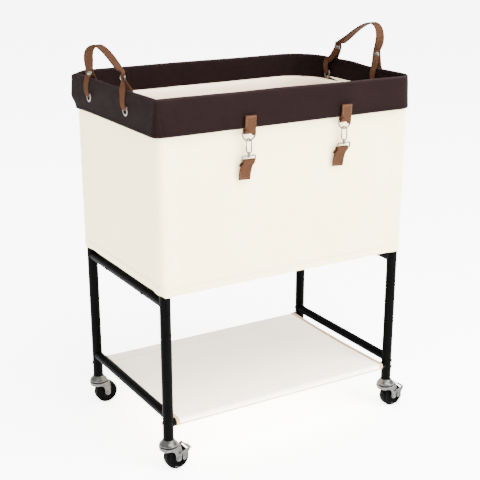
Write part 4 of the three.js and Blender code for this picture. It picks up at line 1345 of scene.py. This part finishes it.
def looped_handle(side, sx, rear, front, arch):
    """One strap: looped through both eyelets and arched between its two rivets."""
    x = sx * STRAP_MID
    controls = leg(sx, rear, EYELET_Y[1])
    controls += [(x, y, z, STRAP_W, angle) for y, z, angle in arch]
    controls += reversed(leg(sx, front, EYELET_Y[0]))
    shape, cut, edge = strap([Vector(c) for c in controls], STRAP_T, 7)
    made = piece(f"handle_{side}_strap", shape, TAN_HIDE, None, "tan_leather", cut, edge)
    body = f"handle_{side}"
    low, high = (at(x, MID_BEND_Y, HINGE_Z + reach) for reach in (-BEND_BELOW, BEND_ABOVE))
    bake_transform(made)
    loops = [f"handle_{side}_loop_{end}" for end in ("front", "rear")]
    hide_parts(f"handle_{side}_arch", *loops)
    for end, (y, z, angle, _) in (("rear", rear), ("front", front)):
        turn = math.radians(angle - 90)
        way = Vector((math.cos(turn), math.sin(turn), 0))
        hole = Vector((x, y, z))
        faces = [(hole + way * (step * RIVET_OUT), way * step, RIVET_R) for step in (-1, 1)]
        rider = body if z > HINGE_Z + 4 else ROOT
        heads(f"handle_{side}_rivet_{end}", faces, rider, "nickel", NICKEL, 32, 0.42)


eyelets()
# Each arch from rear to front, as (y, height, angle of the strap's width).
LEFT_ARCH = [(104.5, 779, 152), (104, 792, 162), (96, 803.5, 174), (79, 812, 180), (58, 816, 180)]
LEFT_ARCH += [(34, 813, 180), (10, 806, 182), (-14, 796, 190), (-38, 784.5, 208)]
RIGHT_ARCH = [(57, 785, 134), (43, 792, 144), (26, 802, 156), (5, 815, 168), (-18, 827, 176)]
RIGHT_ARCH += [(-38, 834.5, 180), (-56, 837, 180), (-71, 831, 176), (-79, 816, 164), (-78, 798, 150)]
looped_handle("left", -1, (102, 757, 148, 118), (-55, 769, 236, 296), LEFT_ARCH)
looped_handle("right", 1, (67, 773, 128, 110), (-71, 774, 142, 120), RIGHT_ARCH)


# ---- Clips -------------------------------------------------------------------------------

TAB_W, TAB_T = 25.0, 2.3
LOWER_TAB_W = {1: 27.0, 2: 27.5}
# Sideways shifts: upper tab's top and foot, lower tab's top and foot.
CLIP_LEAN = {1: (1.7, 0.3, -1.4, -6.3), 2: (1.8, 0.1, -4.7, -9.9)}
RING_WIRE, HOOK_WIRE, GATE_WIRE = 1.5, 1.35, 1.0  # radii
WRAP_R = 2.9  # of the leather round a bar
STITCH_INSET = 2.6
HOOK_TURN = math.radians(-55)
HOOK_ARCH = 5.25  # radius of the hook's wire at both ends of its eye
COVER_FACE = -(HY + COVER_OUT + 1.5)


def folded_tab(node, controls):
    shape, cut, edge = strap([Vector(c) for c in controls], TAB_T, 5)
    stand_in(node, shape, TAN_HIDE, ROOT, "tan_leather", cut=cut, edge=edge)


def upper_tab(number, x, y, bar):
    """Down the face of the collar, round the ring's bar and up behind it."""
    top_shift, foot_shift = CLIP_LEAN[number][:2]
    path = [(-201.3, 704.5), (-201.2, 698), (-200.9, 688), (-200.2, 680)]
    path += bow(y, bar, WRAP_R, 180, 360, 8) + [(y + 1.6, bar + 6)]
    controls = [
        (x + top_shift + (foot_shift - top_shift) * min(1, k / 5), v, z, TAB_W, 0)
        for k, (v, z) in enumerate(path)
    ]
    folded_tab(f"clip_{number}_upper_tab", controls)


def lower_tab(number, x, y, bar):
    """Down the canvas, round the loop's low bar and back behind."""
    top_shift, foot_shift = CLIP_LEAN[number][2:]
    face = COVER_FACE
    path = [(face, bar - 14), (face + 0.3, bar - 9), (y + 2.9, bar - 2.5)]
    path += bow(y, bar, WRAP_R, 0, 180, 8)[1:-1]
    path += [(y - 2.8, bar - 3), (face - 5.6, bar - 9), (face - 3.2, bar - 15)]
    path += [(face - 2.6, bar - 24), (face - 2.6, bar - 31), (face - 2.3, bar - 37)]
    controls = []
    for v, z in path:
        slide = ease(bar, bar - 37, z)
        width = LOWER_TAB_W[number] * (1 - 0.03 * slide)
        controls.append((x + top_shift + (foot_shift - top_shift) * slide, v, z, width, 0))
    folded_tab(f"clip_{number}_lower_tab", controls)


def tab_stitches(number, x, low_bar):
    """Stitches along both sides and the foot of each tab."""
    lean = CLIP_LEAN[number]
    left_x, face = x + lean[3], COVER_FACE - 3.8
    half, foot, top = LOWER_TAB_W[number] / 2 - STITCH_INSET, low_bar - 33, low_bar - 17
    lower = [(left_x - half + 1.4, face + 0.1, top), (left_x - half, face, foot)]
    lower += [(left_x + half, face, foot), (left_x + half + 1.4, face + 0.1, top)]
    upper_x, half = x + lean[0], TAB_W / 2 - STITCH_INSET
    upper = [(upper_x - half, -202.45, 686), (upper_x - half, -202.5, 701.5)]
    upper += [(upper_x + half, -202.5, 701.5), (upper_x + half, -202.45, 686)]
    lines = [[Vector(p) for p in line] for line in (lower, upper)]
    sewn(f"clip_{number}_stitches", lines, "tan_leather", TAN_THREAD, 3.1, 2.2, 0.7)


def d_ring(number, bar, low, place):
    half, drop = 14.25, bar - low - 3
    bend = [(half, -3), (half, -1.2), (half - 1.2, 0), (0, 0), (-half + 1.2, 0), (-half, -1.2)]
    bend += [(half * math.cos(a), -3 + drop * math.sin(a)) for a in arc(180, 345, 14)]
    line = catmull([Vector((u, 0, bar + v)) for u, v in bend], 5, closed=True)
    shape = wire(line, RING_WIRE, closed=True, sides=16)
    where = (NICKEL, f"clip_{number}_ring", "nickel")
    stand_in(f"clip_{number}_d_ring", shape, *where, place=place)


def loop(number, top, low, place):
    """A rectangle of wire with the hook's bearing in its top bar."""
    line = []
    for cx, cz, start in ((-1, 1, 90), (-1, -1, 180), (1, -1, 270), (1, 1, 0)):
        corner_z = (top if cz > 0 else low) - cz * 2.2
        line += [Vector((u, 0, v)) for u, v in bow(cx * 12.05, corner_z, 2.2, start, start + 90, 5)]
    bearing = [(1.7, top - 1.7), (2.9, top - 1.7), (3.3, top - 1.1), (3.3, top + 1.1)]
    bearing += [(2.9, top + 1.7), (1.7, top + 1.7)]
    frame_wire = wire(line, RING_WIRE, closed=True, sides=14)
    shape = merge(frame_wire, turned(bearing, sides=28, closed=True))
    where = (NICKEL, f"clip_{number}_frame", "nickel")
    stand_in(f"clip_{number}_loop", shape, *where, place=place)


def hook(number, hinge, tip, place):
    pin_low, hook_top = (corner.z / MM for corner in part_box(f"clip_{number}_hook"))
    top = hook_top - HOOK_WIRE - HOOK_ARCH
    low = hinge - 1.5 - HOOK_ARCH
    line = [(-HOOK_ARCH, hinge - 1.6), (-HOOK_ARCH * 0.97, hinge - 2.4)]
    line += bow(0, hinge - 1.5, HOOK_ARCH, 205, 350, 9)
    line += [(HOOK_ARCH, hinge + 3), (HOOK_ARCH, (hinge + top) / 2), (HOOK_ARCH, top - 2)]
    line += bow(0, top, HOOK_ARCH, 10, 172, 10) + [(-HOOK_ARCH, tip + 0.9)]
    eye = catmull([Vector((u, 0, v)) for u, v in line], 3)
    barrel = [(0, low - 4.4), (2.7, low - 4.4), (3.2, low - 3.9), (3.2, low - 3.0), (2.7, low - 2.6)]
    barrel += [(2.7, low - 2.0), (3.2, low - 1.6), (3.2, low + 0.2), (2.6, low + 1.4), (0, low + 1.6)]
    pin = [(0, pin_low), (2.0, pin_low), (2.3, pin_low + 0.4), (2.0, pin_low + 1.1)]
    pin += [(1.3, pin_low + 1.3), (1.3, low - 4), (0, low - 4)]
    shape = merge(wire(eye, HOOK_WIRE, sides=16), turned(barrel, sides=32), turned(pin, sides=20))
    where = (NICKEL, f"clip_{number}_hook_body", "nickel")
    stand_in(f"clip_{number}_hook", shape, *where, place=place)


def gate(number, hinge, tip, place):
    spring = [Vector((-HOOK_ARCH, 0, z)) for z in (hinge, hinge + 6, tip - 1)]
    lever = [(-1.25, hinge - 0.6), (1.25, hinge - 0.6), (1.3, hinge + 3.2), (0.9, hinge + 4.6)]
    lever += [(-0.9, hinge + 4.6), (-1.3, hinge + 3.2)]
    sleeve = slab([(u - HOOK_ARCH, v) for u, v in lever], -1.3, 1.3, 0.3)
    shape = merge(wire(spring, GATE_WIRE, sides=14), sleeve)
    where = (NICKEL, f"clip_{number}_gate_body", "nickel")
    stand_in(f"clip_{number}_gate", shape, *where, place=place)


def clip(number):
    ring_low, ring_high = (corner.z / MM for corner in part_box(f"clip_{number}_d_ring"))
    frame_low, frame_high = (corner.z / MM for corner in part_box(f"clip_{number}_loop"))
    gate_low, gate_high = (corner.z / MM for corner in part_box(f"clip_{number}_gate"))
    centre = middle(f"clip_{number}_d_ring")
    x, y = (centre.x - MID_X) / MM, (centre.y - MID_Y) / MM
    bar, low_bar = ring_high - RING_WIRE, frame_low + RING_WIRE
    upper_tab(number, x, y, bar)
    lower_tab(number, x, y, low_bar)
    tab_stitches(number, x, low_bar)
    place = Matrix.Translation((x, y, 0))
    d_ring(number, bar, ring_low + RING_WIRE, place)
    loop(number, frame_high - RING_WIRE, low_bar, place)
    place = place @ Matrix.Rotation(HOOK_TURN, 4, "Z")
    hook(number, gate_low + GATE_WIRE, gate_high, place)
    gate(number, gate_low + GATE_WIRE, gate_high, place)


for clip_number in (1, 2):
    clip(clip_number)


# ---- Camera, floor and light -------------------------------------------------------------

view = bpy.data.cameras.new("camera")
view.sensor_width = 36
view.lens = 77.51
view.shift_y = 0.06
camera = link("camera", view)
camera.location = (-1.1009, -1.8124, 1.0722)
camera.rotation_euler = (math.pi / 2 - 0.3393, 0, -0.5389)
bpy.context.scene.camera = camera

bpy.ops.mesh.primitive_plane_add(size=120, location=(0, 0, 0))
floor = bpy.context.object
floor.name = "floor"
floor.data.materials.append(pale_floor())

SKY = ((0.0, 0.8), (0.3, 0.95), (0.8, 1.0))
SKY_STRENGTH = 2.7
world = bpy.data.worlds.new("studio")
world.use_nodes = True
sky = Nodes(world.node_tree)
upward = sky.add("ShaderNodeSeparateXYZ", {}, {0: sky.add("ShaderNodeTexCoord")}, out=2)
glow = sky.ramp(upward, *SKY)
backdrop = world.node_tree.nodes["Background"]
world.node_tree.links.new(glow.socket, backdrop.inputs[0])
backdrop.inputs[1].default_value = SKY_STRENGTH
bpy.context.scene.world = world


def lamp(name, place, target, size, power):
    data = bpy.data.lights.new(name, "AREA")
    data.energy = power
    data.size = size
    made = link(name, data)
    made.location = place
    made.rotation_euler = (Vector(target) - Vector(place)).to_track_quat("-Z", "Y").to_euler()


lamp("key", (1.7, -3.3, 1.7), (0, 0, 0.35), 2.2, 420)
lamp("fill", (-3.2, -0.9, 1.5), (0, 0, 0.4), 2.0, 15)
lamp("top", (0.2, -1.5, 3.1), (0, 0.1, 0.65), 2.0, 320)
